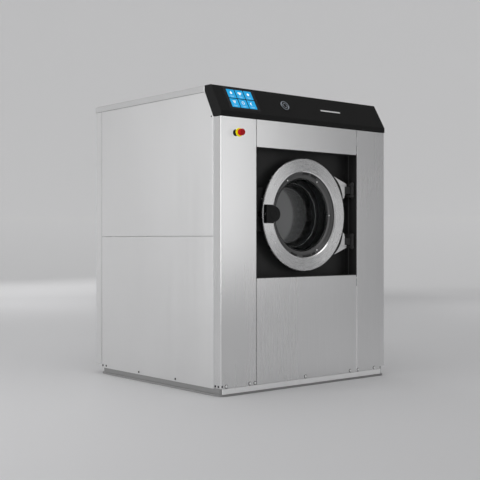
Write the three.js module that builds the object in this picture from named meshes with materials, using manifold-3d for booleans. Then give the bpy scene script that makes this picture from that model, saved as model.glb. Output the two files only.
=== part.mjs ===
// Front-loading commercial laundry machine: a soft-mounted tub with a belt-driven drum
// inside a bolted sheet-steel casing.
// Millimetres, +Z up. Origin on the floor below the middle of the casing. The front faces -Y,
// left is -X, and the drum axis runs along +Y.
import * as THREE from "three";
import { mergeVertices } from "three/addons/utils/BufferGeometryUtils.js";
import Module from "manifold-3d";

const manifold = await Module();
manifold.setup();

// ---------- driving dimensions ----------
const WIDTH = 1400, DEPTH = 1350, HEIGHT = 1800; // casing envelope
const SHEET = 2; // sheet thickness
const GAP = 0.3; // clearance between neighbouring parts
const HALF_JOINT = 1; // half the open joint between sheets
const SIDE_X = WIDTH / 2 - 2; // outer face of the side sheets
const FRONT_Y = -DEPTH / 2; // console lip plane
const PANEL_Y = FRONT_Y + 2; // outer face of the front sheets
const REAR_Y = DEPTH / 2; // outer face of the rear sheet
const PLINTH_Z = 46, PLINTH_END_Y = 621, WEB_TOP_Z = 120;
const CONSOLE_Z = 1611, LIP_TOP_Z = 1642;
const SLOPE_TOP_Y = -582, CONSOLE_BACK_Y = -523, CONSOLE_HEEL_Y = -604;
const LID_Z = 1762, LID_REAR_Y = 683;
const FRONT_TOP_Z = CONSOLE_Z - 2, SIDE_TOP_Z = LID_Z - 2; // upper edges of the sheets
const SEAM_X = 428; // joint between the front columns and the middle panels
const RECESS_BOTTOM_Z = 673, RECESS_TOP_Z = 1447;
const SIDE_RETURN = 15; // depth of the folded edges of the side panels
const SIDE_FRONT_SEAM = -605, SIDE_REAR_SEAM = 608, SIDE_MID_Z = 921;
const AXIS_Z = 1055; // height of the drum and door axis
const RING_R = 350, RING_BORE_R = 265, RING_Y0 = -640, RING_Y1 = -626;
const HINGE_X = 405, HINGE_Y = -655; // door pivot
const HINGE_RISE = 165; // knuckles this far above and below the axis
const HANDLE_X = -334, HANDLE_Y = -654; // handle pivot
const WALL = 4; // tub and drum wall
const DRUM_R = 530, TUB_R = 574, TUB_Y0 = -502, TUB_Y1 = 262;
const SUMP_BORE_R = 39, FILL_X = -250, FILL_Y = 200; // tub outlet and inlet
const SHAFT_R = 35, BEARING_R = 60, HOUSING_BORE_R = 60.5;
const PULLEY_Y0 = 432, PULLEY_Y1 = 478, DRUM_PULLEY_R = 280, MOTOR_PULLEY_R = 60;
const MOTOR_X = 330, MOTOR_Z = 420;
const SPRING_X = 520, SPRING_Z0 = 131, SPRING_Z1 = 399;
const SPRING_Y = { front: -420, rear: 330 };
const CRADLE_Z = 400;
const ESTOP_X = -590, ESTOP_Z = 1518;
const INLET_XS = [-570, -520, -470], INLET_Z = 1590;
const DRAIN_Z = 160.5; // centre of the waste outlet
const THIRDS = [90, 210, 330]; // degrees, for the drum lifters and spider arms

const SIDES = { left: -1, right: 1 };
const LEVELS = { upper: 1, lower: -1 };

// ---------- solids ----------
function solid(geometry) {
  const bare = new THREE.BufferGeometry();
  bare.setAttribute("position", geometry.attributes.position);
  bare.setIndex(geometry.index);
  const merged = mergeVertices(bare, 1e-3);
  const vertProperties = new Float32Array(merged.attributes.position.array);
  const triVerts = new Uint32Array(merged.index.array);
  const make = () =>
    new manifold.Manifold(new manifold.Mesh({ numProp: 3, vertProperties, triVerts }));
  const result = make();
  if (result.volume() >= 0) return result;
  // A profile drawn the other way round comes out inside out, so its triangles are flipped.
  for (let i = 0; i < triVerts.length; i += 3) {
    [triVerts[i + 1], triVerts[i + 2]] = [triVerts[i + 2], triVerts[i + 1]];
  }
  return make();
}

function geometryOf(body) {
  const mesh = body.getMesh();
  const positions = new Float32Array(mesh.numVert * 3);
  for (let i = 0; i < mesh.numVert; i++) {
    const start = i * mesh.numProp;
    positions.set(mesh.vertProperties.subarray(start, start + 3), i * 3);
  }
  const geometry = new THREE.BufferGeometry();
  geometry.setAttribute("position", new THREE.BufferAttribute(positions, 3));
  geometry.setIndex(new THREE.BufferAttribute(new Uint32Array(mesh.triVerts), 1));
  geometry.computeVertexNormals();
  return geometry;
}

const join = (...parts) => parts.flat(Infinity).reduce((a, b) => a.add(b));
const cut = (body, ...tools) => tools.flat(Infinity).reduce((a, b) => a.subtract(b), body);

const boxGeometry = (x0, x1, y0, y1, z0, z1) =>
  new THREE.BoxGeometry(x1 - x0, y1 - y0, z1 - z0)
    .translate((x0 + x1) / 2, (y0 + y1) / 2, (z0 + z1) / 2);
const box = (...limits) => solid(boxGeometry(...limits));
const cylY = (radius, y0, y1, x, z, segments) =>
  solid(new THREE.CylinderGeometry(radius, radius, y1 - y0, segments)
    .translate(x, (y0 + y1) / 2, z));
const cylZ = (radius, z0, z1, x, y, segments) =>
  solid(new THREE.CylinderGeometry(radius, radius, z1 - z0, segments)
    .rotateX(Math.PI / 2).translate(x, y, (z0 + z1) / 2));

// Lathe profiles are [radius, distance along the axis], closed here.
const lathe = (points, segments) =>
  new THREE.LatheGeometry([...points, points[0]].map((p) => new THREE.Vector2(...p)), segments);
const latheY = (points, segments, x = 0, z = AXIS_Z) =>
  solid(lathe(points, segments).translate(x, 0, z));

// Prisms: points are [y, z] for prismX, [x, z] for prismY and [x, y] for prismZ.
const shapeOf = (points) => new THREE.Shape(points.map((p) => new THREE.Vector2(...p)));
const extrude = (points, depth) =>
  new THREE.ExtrudeGeometry(shapeOf(points), { depth, bevelEnabled: false });
const prismX = (points, x0, x1) =>
  solid(extrude(points, x1 - x0).applyMatrix4(
    new THREE.Matrix4().set(0, 0, 1, x0, 1, 0, 0, 0, 0, 1, 0, 0, 0, 0, 0, 1)));
const prismY = (points, y0, y1) =>
  solid(extrude(points, y1 - y0).applyMatrix4(
    new THREE.Matrix4().set(1, 0, 0, 0, 0, 0, -1, y1, 0, 1, 0, 0, 0, 0, 0, 1)));
const prismZ = (points, z0, z1) => solid(extrude(points, z1 - z0).translate(0, 0, z0));

// Prism along Y from [radius, sideways offset] points, turned about the drum axis.
function radialPrism(degrees, points, y0, y1) {
  const angle = THREE.MathUtils.degToRad(degrees);
  const cos = Math.cos(angle), sin = Math.sin(angle);
  const place = ([r, offset]) => [r * cos - offset * sin, AXIS_Z + r * sin + offset * cos];
  return prismY(points.map(place), y0, y1);
}

// Round bar following a curve.
const sweep = (extrudePath, radius, steps, sides) =>
  solid(new THREE.ExtrudeGeometry(
    shapeOf(circle(0, 0, radius, sides)), { steps, extrudePath, bevelEnabled: false }));

// ---------- outlines ----------
function circle(x, y, radius, count) {
  return Array.from({ length: count }, (_, i) => {
    const angle = (2 * Math.PI * i) / count;
    return [x + radius * Math.cos(angle), y + radius * Math.sin(angle)];
  });
}

function roundedRect(x0, x1, y0, y1, radius) {
  const steps = 4; // per corner
  const corners = [ // arc centre x, y and start angle in degrees
    [x1 - radius, y1 - radius, 0], [x0 + radius, y1 - radius, 90],
    [x0 + radius, y0 + radius, 180], [x1 - radius, y0 + radius, 270],
  ];
  return corners.flatMap(([x, y, start]) =>
    Array.from({ length: steps + 1 }, (_, i) => {
      const angle = THREE.MathUtils.degToRad(start + (90 * i) / steps);
      return [x + radius * Math.cos(angle), y + radius * Math.sin(angle)];
    }));
}

function convexHull(points) {
  const sorted = [...points].sort((a, b) => a[0] - b[0] || a[1] - b[1]);
  const turn = (o, a, b) => (a[0] - o[0]) * (b[1] - o[1]) - (a[1] - o[1]) * (b[0] - o[0]);
  const half = (list) => {
    const chain = [];
    for (const point of list) {
      while (chain.length > 1 && turn(chain.at(-2), chain.at(-1), point) <= 1e-6) chain.pop();
      chain.push(point);
    }
    chain.pop();
    return chain;
  };
  return [...half(sorted), ...half([...sorted].reverse())];
}

// A range measured outwards from the middle, put on the side given by -1 or 1.
const mirrored = (side, inner, outer) => (side < 0 ? [-outer, -inner] : [inner, outer]);
const aboutAxis = (side, inner, outer) =>
  mirrored(side, inner, outer).map((height) => AXIS_Z + height);

// ---------- finishes ----------
const material = (settings) => new THREE.MeshStandardMaterial(settings);
const finish = {
  stainless: material({ color: 0xb8b8b8, metalness: 0.95, roughness: 0.35 }),
  casing: material({ color: 0xbdbdbd, metalness: 0.7, roughness: 0.5 }),
  galvanised: material({ color: 0x8d8f90, metalness: 0.7, roughness: 0.55 }),
  black: material({ color: 0x1c1c1c, metalness: 0.1, roughness: 0.55 }),
  plastic: material({ color: 0x1a1a1b, metalness: 0, roughness: 0.45 }),
  screen: material({ color: 0x18a8ff, metalness: 0, roughness: 0.15 }),
  badge: material({ color: 0x8a9098, metalness: 0.8, roughness: 0.35 }),
  red: material({ color: 0xc01018, metalness: 0, roughness: 0.4 }),
  yellow: material({ color: 0xf5e000, metalness: 0, roughness: 0.45 }),
  rubber: material({ color: 0x141414, metalness: 0, roughness: 0.8 }),
  castIron: material({ color: 0x4b4f52, metalness: 0.3, roughness: 0.7 }),
  cast: material({ color: 0xb5b7b8, metalness: 0.6, roughness: 0.5 }),
  zinc: material({ color: 0x9fa3a6, metalness: 0.9, roughness: 0.4 }),
  motor: material({ color: 0x3b4650, metalness: 0.2, roughness: 0.6 }),
  brass: material({ color: 0xb08d4a, metalness: 0.9, roughness: 0.4 }),
  glass: material({
    color: 0x9aa4a8, metalness: 0, roughness: 0.05, transparent: true, opacity: 0.3,
  }),
};

const machine = new THREE.Group();
function piece(name, surface, build) {
  const mesh = new THREE.Mesh(geometryOf(build()), surface);
  mesh.name = name;
  machine.add(mesh);
}

// ---------- base and frame ----------
piece("base_frame", finish.galvanised, () => {
  const footprint = (inset) =>
    [-WIDTH / 2 + inset, WIDTH / 2 - inset, FRONT_Y + inset, PLINTH_END_Y - inset];
  const flange = cut(
    prismZ(roundedRect(...footprint(0), 40), 0, 12), box(...footprint(90), -5, 20));
  const web = cut(
    prismZ(roundedRect(...footprint(10), 30), 12, WEB_TOP_Z),
    prismZ(roundedRect(...footprint(16), 26), 5, WEB_TOP_Z - 8),
    box(...footprint(76), WEB_TOP_Z - 20, WEB_TOP_Z + 5));
  const beams = [[-450, -390, 60], [300, 360, 60], [-40, 40, 0]] // y0, y1, underside
    .map(([y0, y1, z0]) => box(-686, 686, y0, y1, z0, 116));
  const seats = [-1, 1].map((side) => [
    cylZ(56, 100, 130, side * SPRING_X, SPRING_Y.front, 12),
    cylZ(56, 100, 130, side * SPRING_X, SPRING_Y.rear, 12),
    cylZ(36, 100, 125, side * SPRING_X, 0, 12),
  ]);
  return join(flange, web, beams, seats);
});

piece("cabinet_frame", finish.galvanised, () => {
  const outerX = SIDE_X - SIDE_RETURN - GAP;
  const frontY = PANEL_Y + SHEET + GAP, rearY = REAR_Y - SHEET - GAP;
  const frontBar = [frontY, -640], crossBar = [-505, -465];
  const footZ = WEB_TOP_Z + GAP, topZ = HEIGHT - SHEET - GAP;
  const railZ = [1564, 1604], topRailZ = [1740, topZ];
  const sideBars = [-1, 1].map((side) => {
    const post = mirrored(side, 640, outerX);
    return [
      box(...post, frontY, -612, footZ, railZ[1]),
      box(...post, 575, rearY, footZ, topZ),
      box(...post, -612, 575, ...railZ),
      box(...post, crossBar[0], rearY, ...topRailZ),
      box(...post, ...crossBar, railZ[0], topZ),
      box(...mirrored(side, 443, 470), ...frontBar, footZ, railZ[1]),
    ];
  });
  return join(
    sideBars,
    box(-outerX, outerX, ...crossBar, ...topRailZ),
    box(-outerX, outerX, 632, rearY, ...topRailZ),
    box(-outerX, outerX, ...frontBar, ...railZ),
    box(-470, 470, ...frontBar, 600, 650),
    box(-470, 470, ...frontBar, 1468, 1510));
});

// ---------- casing sheets ----------
// Front sheet reaching up to the console, its top edge folded back.
const frontSheet = (x0, x1, z0) => join(
  box(x0, x1, PANEL_Y, PANEL_Y + SHEET, z0, FRONT_TOP_Z),
  box(x0, x1, PANEL_Y, PANEL_Y + 32, FRONT_TOP_Z - SHEET, FRONT_TOP_Z));

for (const [name, side] of Object.entries(SIDES)) {
  const panelX = mirrored(side, SIDE_X - SIDE_RETURN, SIDE_X);
  const pocketX = mirrored(side, SIDE_X - 20, SIDE_X - SHEET);
  const y0 = SIDE_FRONT_SEAM + 1.5, y1 = SIDE_REAR_SEAM - 1.5;

  piece(`${name}_lower_panel`, finish.casing, () => {
    const top = SIDE_MID_Z - HALF_JOINT;
    return cut(
      box(...panelX, y0, y1, 41, top),
      box(...pocketX, y0 + SHEET, y1 - SHEET, 30, top - SHEET),
      box(...pocketX, y0 - 5, y1 + 5, 0, 126)); // clears the plinth
  });

  piece(`${name}_upper_panel`, finish.casing, () => {
    const bottom = SIDE_MID_Z + HALF_JOINT, innerTop = SIDE_TOP_Z - SHEET;
    const outline = [
      [y0, bottom], [y1, bottom], [y1, SIDE_TOP_Z],
      [CONSOLE_BACK_Y - 1.5, SIDE_TOP_Z], [y0, 1609.5],
    ];
    const pocket = [
      [y0 + SHEET, bottom + SHEET], [y1 - SHEET, bottom + SHEET], [y1 - SHEET, innerTop],
      [CONSOLE_BACK_Y, innerTop], [y0 + SHEET, 1609],
    ];
    return cut(prismX(outline, ...panelX), prismX(pocket, ...pocketX));
  });

  piece(`front_${name}_column`, finish.stainless, () => {
    const column = join(
      frontSheet(...mirrored(side, SEAM_X + HALF_JOINT, SIDE_X), PLINTH_Z),
      box(...mirrored(side, SIDE_X - SHEET, SIDE_X),
        PANEL_Y, SIDE_FRONT_SEAM - 1, PLINTH_Z, FRONT_TOP_Z));
    const opening = side > 0
      ? box(SIDE_X - 45, SIDE_X + 5, PANEL_Y - 5, SIDE_FRONT_SEAM + 5, 0, 62) // foot notch
      : cylY(12, PANEL_Y - 5, PANEL_Y + 10, ESTOP_X, ESTOP_Z, 24); // emergency stop hole
    return cut(column, opening);
  });
}

const MIDDLE_X = [-SEAM_X + HALF_JOINT, SEAM_X - HALF_JOINT];
piece("front_upper_panel", finish.stainless, () =>
  frontSheet(...MIDDLE_X, RECESS_TOP_Z + HALF_JOINT));
piece("front_lower_panel", finish.stainless, () =>
  box(...MIDDLE_X, PANEL_Y, PANEL_Y + SHEET, PLINTH_Z, RECESS_BOTTOM_Z - HALF_JOINT));

piece("recess_surround", finish.black, () => {
  const sleeve = box(
    ...MIDDLE_X, PANEL_Y + GAP, -634, RECESS_BOTTOM_Z + 0.5, RECESS_TOP_Z - 0.5);
  const rimY = PANEL_Y + SHEET + 0.5;
  const rim = box(-441, 441, rimY, rimY + 2, RECESS_BOTTOM_Z - 13, RECESS_TOP_Z + 13);
  const opening = box(
    -425, 425, PANEL_Y - 5, -600, RECESS_BOTTOM_Z + 2.5, RECESS_TOP_Z - 2.5);
  return cut(join(sleeve, rim), opening);
});

piece("rear_panel", finish.casing, () => {
  const seamY = SIDE_REAR_SEAM + 1, innerX = SIDE_X - SHEET, innerY = REAR_Y - SHEET;
  const channel = [
    [-SIDE_X, seamY], [-innerX, seamY], [-innerX, innerY], [innerX, innerY],
    [innerX, seamY], [SIDE_X, seamY], [SIDE_X, REAR_Y], [-SIDE_X, REAR_Y],
  ];
  const through = [REAR_Y - 10, REAR_Y + 5];
  return cut(
    prismZ(channel, 62, SIDE_TOP_Z),
    box(-290, 290, ...through, 710, 1490),
    cylY(48, ...through, 0, DRAIN_Z, 20),
    INLET_XS.map((x) => cylY(17, ...through, x, INLET_Z, 12)));
});

piece("rear_service_cover", finish.casing, () => {
  const count = 9, pitch = 42, lowestZ = 1040;
  const slots = Array.from({ length: count }, (_, i) => {
    const z = lowestZ + pitch * i;
    return box(-220, 220, REAR_Y - 5, REAR_Y + 10, z, z + 12);
  });
  return cut(box(-312, 312, REAR_Y + GAP, REAR_Y + GAP + SHEET, 688, 1512), slots);
});

piece("top_cover", finish.casing, () => {
  const innerX = WIDTH / 2 - SHEET;
  return cut(
    box(-WIDTH / 2, WIDTH / 2, CONSOLE_BACK_Y + 1, LID_REAR_Y, LID_Z, HEIGHT),
    box(-innerX, innerX, CONSOLE_BACK_Y - 5, LID_REAR_Y - SHEET, LID_Z - 5, HEIGHT - SHEET));
});

// ---------- console ----------
// Frame on the sloping console face: x across, y up the slope from the lip, z outwards.
const slopeRun = SLOPE_TOP_Y - FRONT_Y, slopeRise = HEIGHT - LIP_TOP_Z;
const slopeLength = Math.hypot(slopeRun, slopeRise);
const slopeY = slopeRun / slopeLength, slopeZ = slopeRise / slopeLength;
const slopeFrame = new THREE.Matrix4().set(
  1, 0, 0, 0,
  0, slopeY, -slopeZ, FRONT_Y,
  0, slopeZ, slopeY, LIP_TOP_Z,
  0, 0, 0, 1);
const onSlope = (geometry) => solid(geometry.applyMatrix4(slopeFrame));
// Screen-shaped block, drawn in from the edges of the console window by the inset.
const screenBlock = (inset, bottom, top) =>
  onSlope(boxGeometry(-622 + inset, -384 - inset, 17 + inset, 177 - inset, bottom, top));

piece("console_housing", finish.plastic, () => {
  const wall = 3, halfWidth = WIDTH / 2, floorZ = CONSOLE_Z + wall;
  const outer = [
    [FRONT_Y, CONSOLE_Z], [CONSOLE_HEEL_Y, CONSOLE_Z], [CONSOLE_BACK_Y, LID_Z + 5],
    [CONSOLE_BACK_Y, HEIGHT], [SLOPE_TOP_Y, HEIGHT], [FRONT_Y, LIP_TOP_Z],
  ];
  const inner = [
    [FRONT_Y + wall, floorZ], [-590, floorZ], [-480, floorZ], [-480, HEIGHT - wall],
    [SLOPE_TOP_Y + 1.7, HEIGHT - wall], [FRONT_Y + wall, LIP_TOP_Z - 0.8],
  ];
  return cut(
    prismX(outer, -halfWidth, halfWidth),
    prismX(inner, -halfWidth + wall, halfWidth - wall),
    screenBlock(0, -12, 10));
});
piece("touch_screen", finish.screen, () => screenBlock(0.5, -11, 0.6));
piece("console_badge", finish.badge, () =>
  onSlope(new THREE.CylinderGeometry(32, 32, 3, 32)
    .rotateX(Math.PI / 2).translate(-162, 89, 1.8)));

// ---------- emergency stop ----------
const estopCylinder = (radius, y0, y1, segments) =>
  cylY(radius, y0, y1, ESTOP_X, ESTOP_Z, segments);
piece("estop_base", finish.black, () => cut(
  join(
    estopCylinder(19.5, -705, PANEL_Y - GAP, 28),
    estopCylinder(11, -690, PANEL_Y + 8, 16),
    box(ESTOP_X - 18, ESTOP_X + 18, PANEL_Y + 2.5, -618, ESTOP_Z - 18, ESTOP_Z + 18)),
  estopCylinder(8.5, -720, -660, 16)));
piece("estop_guard_ring", finish.yellow, () =>
  cut(estopCylinder(25.5, -709, -705.3, 28), estopCylinder(13, -720, -700, 16)));
piece("estop_button", finish.red, () => latheY([
  [0, -742], [16, -741], [20, -736], [20, -717], [17, -714.5], [7, -714.5], [7, -668],
  [0, -668],
], 24, ESTOP_X, ESTOP_Z));

// ---------- tub and what hangs on it ----------
piece("tub", finish.stainless, () => {
  const mouthR = 262, rearHoleR = 100, rearWall = 6;
  const shell = latheY([
    [mouthR, TUB_Y0], [TUB_R, TUB_Y0], [TUB_R, TUB_Y1], [rearHoleR, TUB_Y1],
    [rearHoleR, TUB_Y1 - rearWall], [TUB_R - WALL, TUB_Y1 - rearWall],
    [TUB_R - WALL, TUB_Y0 + WALL], [mouthR, TUB_Y0 + WALL],
  ], 40);
  return cut(
    join(shell, cylZ(45, 455, 492, 0, 0, 16), cylZ(25, 1560, 1600, FILL_X, FILL_Y, 12)),
    cylZ(SUMP_BORE_R, 440, 520, 0, 0, 16),
    cylZ(19, 1540, 1620, FILL_X, FILL_Y, 12));
});

piece("tub_cradle", finish.galvanised, () => {
  const saddles = [-330, 180].map((y) => box(-560, 560, y, y + 12, CRADLE_Z, 700));
  const beams = [-1, 1].map((side) =>
    box(...mirrored(side, 478, 562), -475, 385, CRADLE_Z, CRADLE_Z + 40));
  const seatR = TUB_R + 1.5;
  const body = cut(
    join(saddles, beams),
    latheY([[0, -700], [seatR, -700], [seatR, 700], [0, 700]], 40),
    cylY(36, 170, 200, MOTOR_X, MOTOR_Z, 12),
    cylZ(75, 350, 800, 0, 0, 12));
  const motorPlate = box(265, 435, 190, 400, 531, 543);
  return join(body, motorPlate);
});

piece("door_plate", finish.black, () => {
  const pan = cut(
    box(-434, 434, -628, -562, 651, 1469),
    box(-431, 431, -640, -566, 654, 1466),
    cylY(262, -600, -550, 0, AXIS_Z, 40));
  const neckEnd = TUB_Y0 - 0.5;
  return join(pan, latheY([[262, -565], [266, -565], [266, neckEnd], [262, neckEnd]], 40));
});
piece("door_gasket", finish.rubber, () => latheY([
  [250, -566.4], [270, -566.4], [270, -578], [258, -599.5], [246, -599.5], [244, -588],
], 40));

piece("bearing_housing", finish.castIron, () => {
  const hub = latheY([
    [HOUSING_BORE_R, 263], [240, 263], [240, 276], [105, 290], [105, 415],
    [HOUSING_BORE_R, 415],
  ], 32);
  const arms = [45, 135, 225, 315].map((degrees) =>
    radialPrism(degrees, [[80, -30], [520, -30], [520, 30], [80, 30]], 263, 300));
  return cut(join(hub, arms), cylY(HOUSING_BORE_R, 200, 450, 0, AXIS_Z, 32));
});
for (const [name, y0] of [["front", 290], ["rear", 370]]) {
  const y1 = y0 + 35, boreR = SHAFT_R + 1;
  piece(`${name}_bearing`, finish.zinc, () =>
    latheY([[boreR, y0], [BEARING_R, y0], [BEARING_R, y1], [boreR, y1]], 32));
}

piece("motor", finish.motor, () => cut(
  join(
    cylY(95, 210, 400, MOTOR_X, MOTOR_Z, 24),
    box(MOTOR_X - 70, MOTOR_X + 70, 230, 380, 460, 530.5),
    box(MOTOR_X - 130, MOTOR_X - 60, 260, 350, 385, 455)),
  cylY(15, 380, 410, MOTOR_X, MOTOR_Z, 16)));

piece("drive_belt", finish.rubber, () => {
  const loop = (offset) => convexHull([
    ...circle(0, AXIS_Z, DRUM_PULLEY_R + offset, 32),
    ...circle(MOTOR_X, MOTOR_Z, MOTOR_PULLEY_R + offset, 16),
  ]);
  return cut(prismY(loop(9), 437, 473), prismY(loop(2), 430, 480));
});

piece("drain_valve", finish.black, () => cut(
  join(cylZ(60, 346, 454.5, 0, 0, 20), box(50, 150, -35, 35, 372, 442)),
  cylZ(SUMP_BORE_R, 330, 470, 0, 0, 16)));

piece("lock_housing", finish.black, () => {
  const outline = [
    [-418, -566.5], [-418, -604], [-410, -612], [-284, -612], [-276, -604], [-276, -566.5],
  ];
  return cut(prismZ(outline, 950, 1215), box(-362, -270, -620, -574, 1040, 1070));
});

const hingeCylinder = (radius, z0, z1) => cylZ(radius, z0, z1, HINGE_X, HINGE_Y, 12);
for (const [name, side] of Object.entries(LEVELS)) {
  const z = AXIS_Z + side * HINGE_RISE;
  piece(`hinge_bracket_${name}`, finish.black, () => {
    const lugOutline = convexHull([
      ...circle(HINGE_X, HINGE_Y, 14, 12), [391, -572], [419, -572],
    ]);
    return cut(
      join(
        box(385, 424, -574, -566.5, z - 70, z + 70),
        prismZ(lugOutline, z + 30, z + 46),
        prismZ(lugOutline, z - 46, z - 30)),
      hingeCylinder(5.6, z - 80, z + 80));
  });
  piece(`hinge_pin_${name}`, finish.zinc, () =>
    join(hingeCylinder(5, z - 52, z + 50), hingeCylinder(9, z + 46.4, z + 52)));
}

// ---------- suspension ----------
class Helix extends THREE.Curve {
  constructor(x, y) {
    super();
    this.centre = { x, y };
  }
  getPoint(t, target = new THREE.Vector3()) {
    const turns = 5, radius = 42, endInset = 8;
    const angle = t * turns * 2 * Math.PI;
    return target.set(
      this.centre.x + radius * Math.cos(angle),
      this.centre.y + radius * Math.sin(angle),
      SPRING_Z0 + endInset + t * (SPRING_Z1 - SPRING_Z0 - 2 * endInset));
  }
}
for (const [end, y] of Object.entries(SPRING_Y)) {
  for (const [name, side] of Object.entries(SIDES)) {
    piece(`suspension_spring_${end}_${name}`, finish.zinc, () =>
      sweep(new Helix(side * SPRING_X, y), 7.5, 40, 5));
  }
}
for (const [name, side] of Object.entries(SIDES)) {
  const x = side * SPRING_X;
  piece(`damper_body_${name}`, finish.black, () =>
    cut(cylZ(28, 125.3, 300, x, 0, 16), cylZ(22, 140, 310, x, 0, 16)));
  piece(`damper_rod_${name}`, finish.zinc, () =>
    join(cylZ(9, 190, CRADLE_Z - 0.4, x, 0, 12), cylZ(20.5, 190, 210, x, 0, 16)));
}

// ---------- drum and drive ----------
piece("drum", finish.stainless, () => {
  const mouthR = 250, y0 = -450, y1 = 229;
  const shell = latheY([
    [0, y1], [DRUM_R, y1], [DRUM_R, y0], [mouthR, y0], [mouthR, y0 + WALL],
    [DRUM_R - WALL, y0 + WALL], [DRUM_R - WALL, y1 - WALL], [0, y1 - WALL],
  ], 40);
  const lifter = [[524, -62], [524, 62], [452, 20], [446, 0], [452, -20]];
  return join(shell, THIRDS.map((degrees) => radialPrism(degrees, lifter, -440, 222)));
});

piece("drum_shaft", finish.castIron, () => {
  const y0 = 229.5;
  const hub = latheY([
    [0, y0], [92, y0], [92, 240], [SHAFT_R + 12, 250], [SHAFT_R, 252], [SHAFT_R, 500],
    [0, 500],
  ], 32);
  const arm = [[60, -45], [500, -28], [500, 28], [60, 45]];
  return join(hub, THIRDS.map((degrees) => radialPrism(degrees, arm, y0, 244)));
});

piece("drum_pulley", finish.castIron, () => {
  const boreR = SHAFT_R + 1, hubR = 62, rimInnerR = 262, webY0 = 449, webY1 = 461;
  const wheel = latheY([
    [boreR, PULLEY_Y0], [hubR, PULLEY_Y0], [hubR, webY0], [rimInnerR, webY0],
    [rimInnerR, PULLEY_Y0], [DRUM_PULLEY_R, PULLEY_Y0], [DRUM_PULLEY_R, PULLEY_Y1],
    [rimInnerR, PULLEY_Y1], [rimInnerR, webY1], [hubR, webY1], [hubR, PULLEY_Y1],
    [boreR, PULLEY_Y1],
  ], 32);
  return cut(wheel, circle(0, AXIS_Z, 165, 6).map(([x, z]) => cylY(52, 440, 470, x, z, 12)));
});
piece("motor_pulley", finish.castIron, () => join(
  cylY(MOTOR_PULLEY_R, PULLEY_Y0, PULLEY_Y1, MOTOR_X, MOTOR_Z, 16),
  cylY(14, 381, 440, MOTOR_X, MOTOR_Z, 12)));

// ---------- door ----------
// Slot that lets the latch hook through.
const latchSlot = (rearY) => box(-340, -302, -650, rearY, AXIS_Z - 9, AXIS_Z + 9);

piece("door_ring", finish.stainless, () => cut(latheY([
  [RING_BORE_R, RING_Y0], [RING_R - 3, RING_Y0], [RING_R, RING_Y0 + 3],
  [RING_R, RING_Y1], [RING_BORE_R, RING_Y1],
], 56), latchSlot(-600)));
piece("door_inner_bezel", finish.black, () => latheY([
  [228, -610.5], [257, -625.3], [264, -625.3], [264, -608], [228, -608],
], 40));
piece("door_glass", finish.glass, () => latheY([
  [262, -607.5], [262, -601], [227, -601], [206, -524], [190, -468], [178, -456],
  [0, -456], [0, -464], [174, -464], [182, -471], [198, -526], [221, -607.5],
], 40));

for (const [name, side] of Object.entries(LEVELS)) {
  piece(`hinge_arm_${name}`, finish.cast, () => {
    const z = AXIS_Z + side * HINGE_RISE;
    // x, distance above or below the axis
    const plate = [[205, 232], [272, 249], [385, 206], [362, 117], [302, 78]]
      .map(([x, rise]) => [x, AXIS_Z + side * rise]);
    const knuckle = convexHull([
      ...circle(HINGE_X, HINGE_Y, 12, 12), [362, -625], [362, -613], [386, -613],
    ]);
    return cut(
      join(prismY(plate, -625, -613), prismZ(knuckle, z - 28.5, z + 28.5)),
      hingeCylinder(5.8, z - 40, z + 40));
  });
}

piece("handle_base", finish.plastic, () => {
  const plate = prismZ(
    [[-342, -646], [-342, -640.4], [-268, -640.4], [-268, -646]],
    AXIS_Z - 50.5, AXIS_Z + 50.5);
  const ear = convexHull([
    ...circle(HANDLE_X, HANDLE_Y, 6, 14), [-342, -640.4], [-268, -640.4], [-272, -648],
  ]);
  const ends = [-1, 1].map((side) => [
    prismZ(ear, ...aboutAxis(side, 50.2, 55.5)),
    cylZ(3, ...aboutAxis(side, 43, 52), HANDLE_X, HANDLE_Y, 14),
  ]);
  return join(cut(plate, latchSlot(-630)), ends);
});

piece("door_handle", finish.plastic, () => {
  const halfHeight = 48, bulge = 54, steps = 20;
  const outline = [[-341, AXIS_Z - halfHeight], [-286, AXIS_Z - halfHeight]];
  for (let i = 1; i < steps; i++) {
    const angle = -Math.PI / 2 + (Math.PI * i) / steps;
    outline.push([-284 + bulge * Math.cos(angle), AXIS_Z + halfHeight * Math.sin(angle)]);
  }
  outline.push([-286, AXIS_Z + halfHeight], [-341, AXIS_Z + halfHeight]);
  const hollow = [
    [-262, 1016], [-262, 1094], [-251, 1088], [-240, 1070], [-238, 1055], [-240, 1040],
    [-251, 1022],
  ];
  const relief = [[-345, -640], [-345, -660], [-334, -646.2], [-334, -640]];
  return cut(
    prismY(outline, -664, -647),
    prismY(hollow, -656, -640),
    prismZ(relief, AXIS_Z - 55, AXIS_Z + 55),
    [-1, 1].map((side) => cylZ(3.5, ...aboutAxis(side, 41.5, 60), HANDLE_X, HANDLE_Y, 14)));
});

piece("latch_hook", finish.zinc, () => prismZ([
  [-335, -646.5], [-320, -646.5], [-318, -592], [-308, -585], [-312, -580], [-334, -580],
], AXIS_Z - 5, AXIS_Z + 5));

// ---------- water side and electrics ----------
piece("inverter_cabinet", finish.casing, () =>
  cut(box(415, 639.7, 200, 550, 1566, 1700), box(419, 636, 204, 546, 1560, 1696)));
piece("inlet_valve_block", finish.brass, () => join(
  box(-600, -440, 612, 672.7, 1560, 1620),
  INLET_XS.map((x) => cylY(12, 660, 700, x, INLET_Z, 12)),
  cylY(16, 596, 620, -460, INLET_Z, 12)));

piece("fill_hose", finish.rubber, () => {
  const route = [
    [-460, 595, INLET_Z], [-460, 570, INLET_Z], [-440, 480, 1612], [-350, 320, 1665],
    [-275, 220, 1668], [FILL_X, FILL_Y, 1640], [FILL_X, FILL_Y, 1605],
    [FILL_X, FILL_Y, 1575],
  ];
  const curve = new THREE.CatmullRomCurve3(route.map((p) => new THREE.Vector3(...p)));
  return sweep(curve, 14, 24, 8);
});

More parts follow.
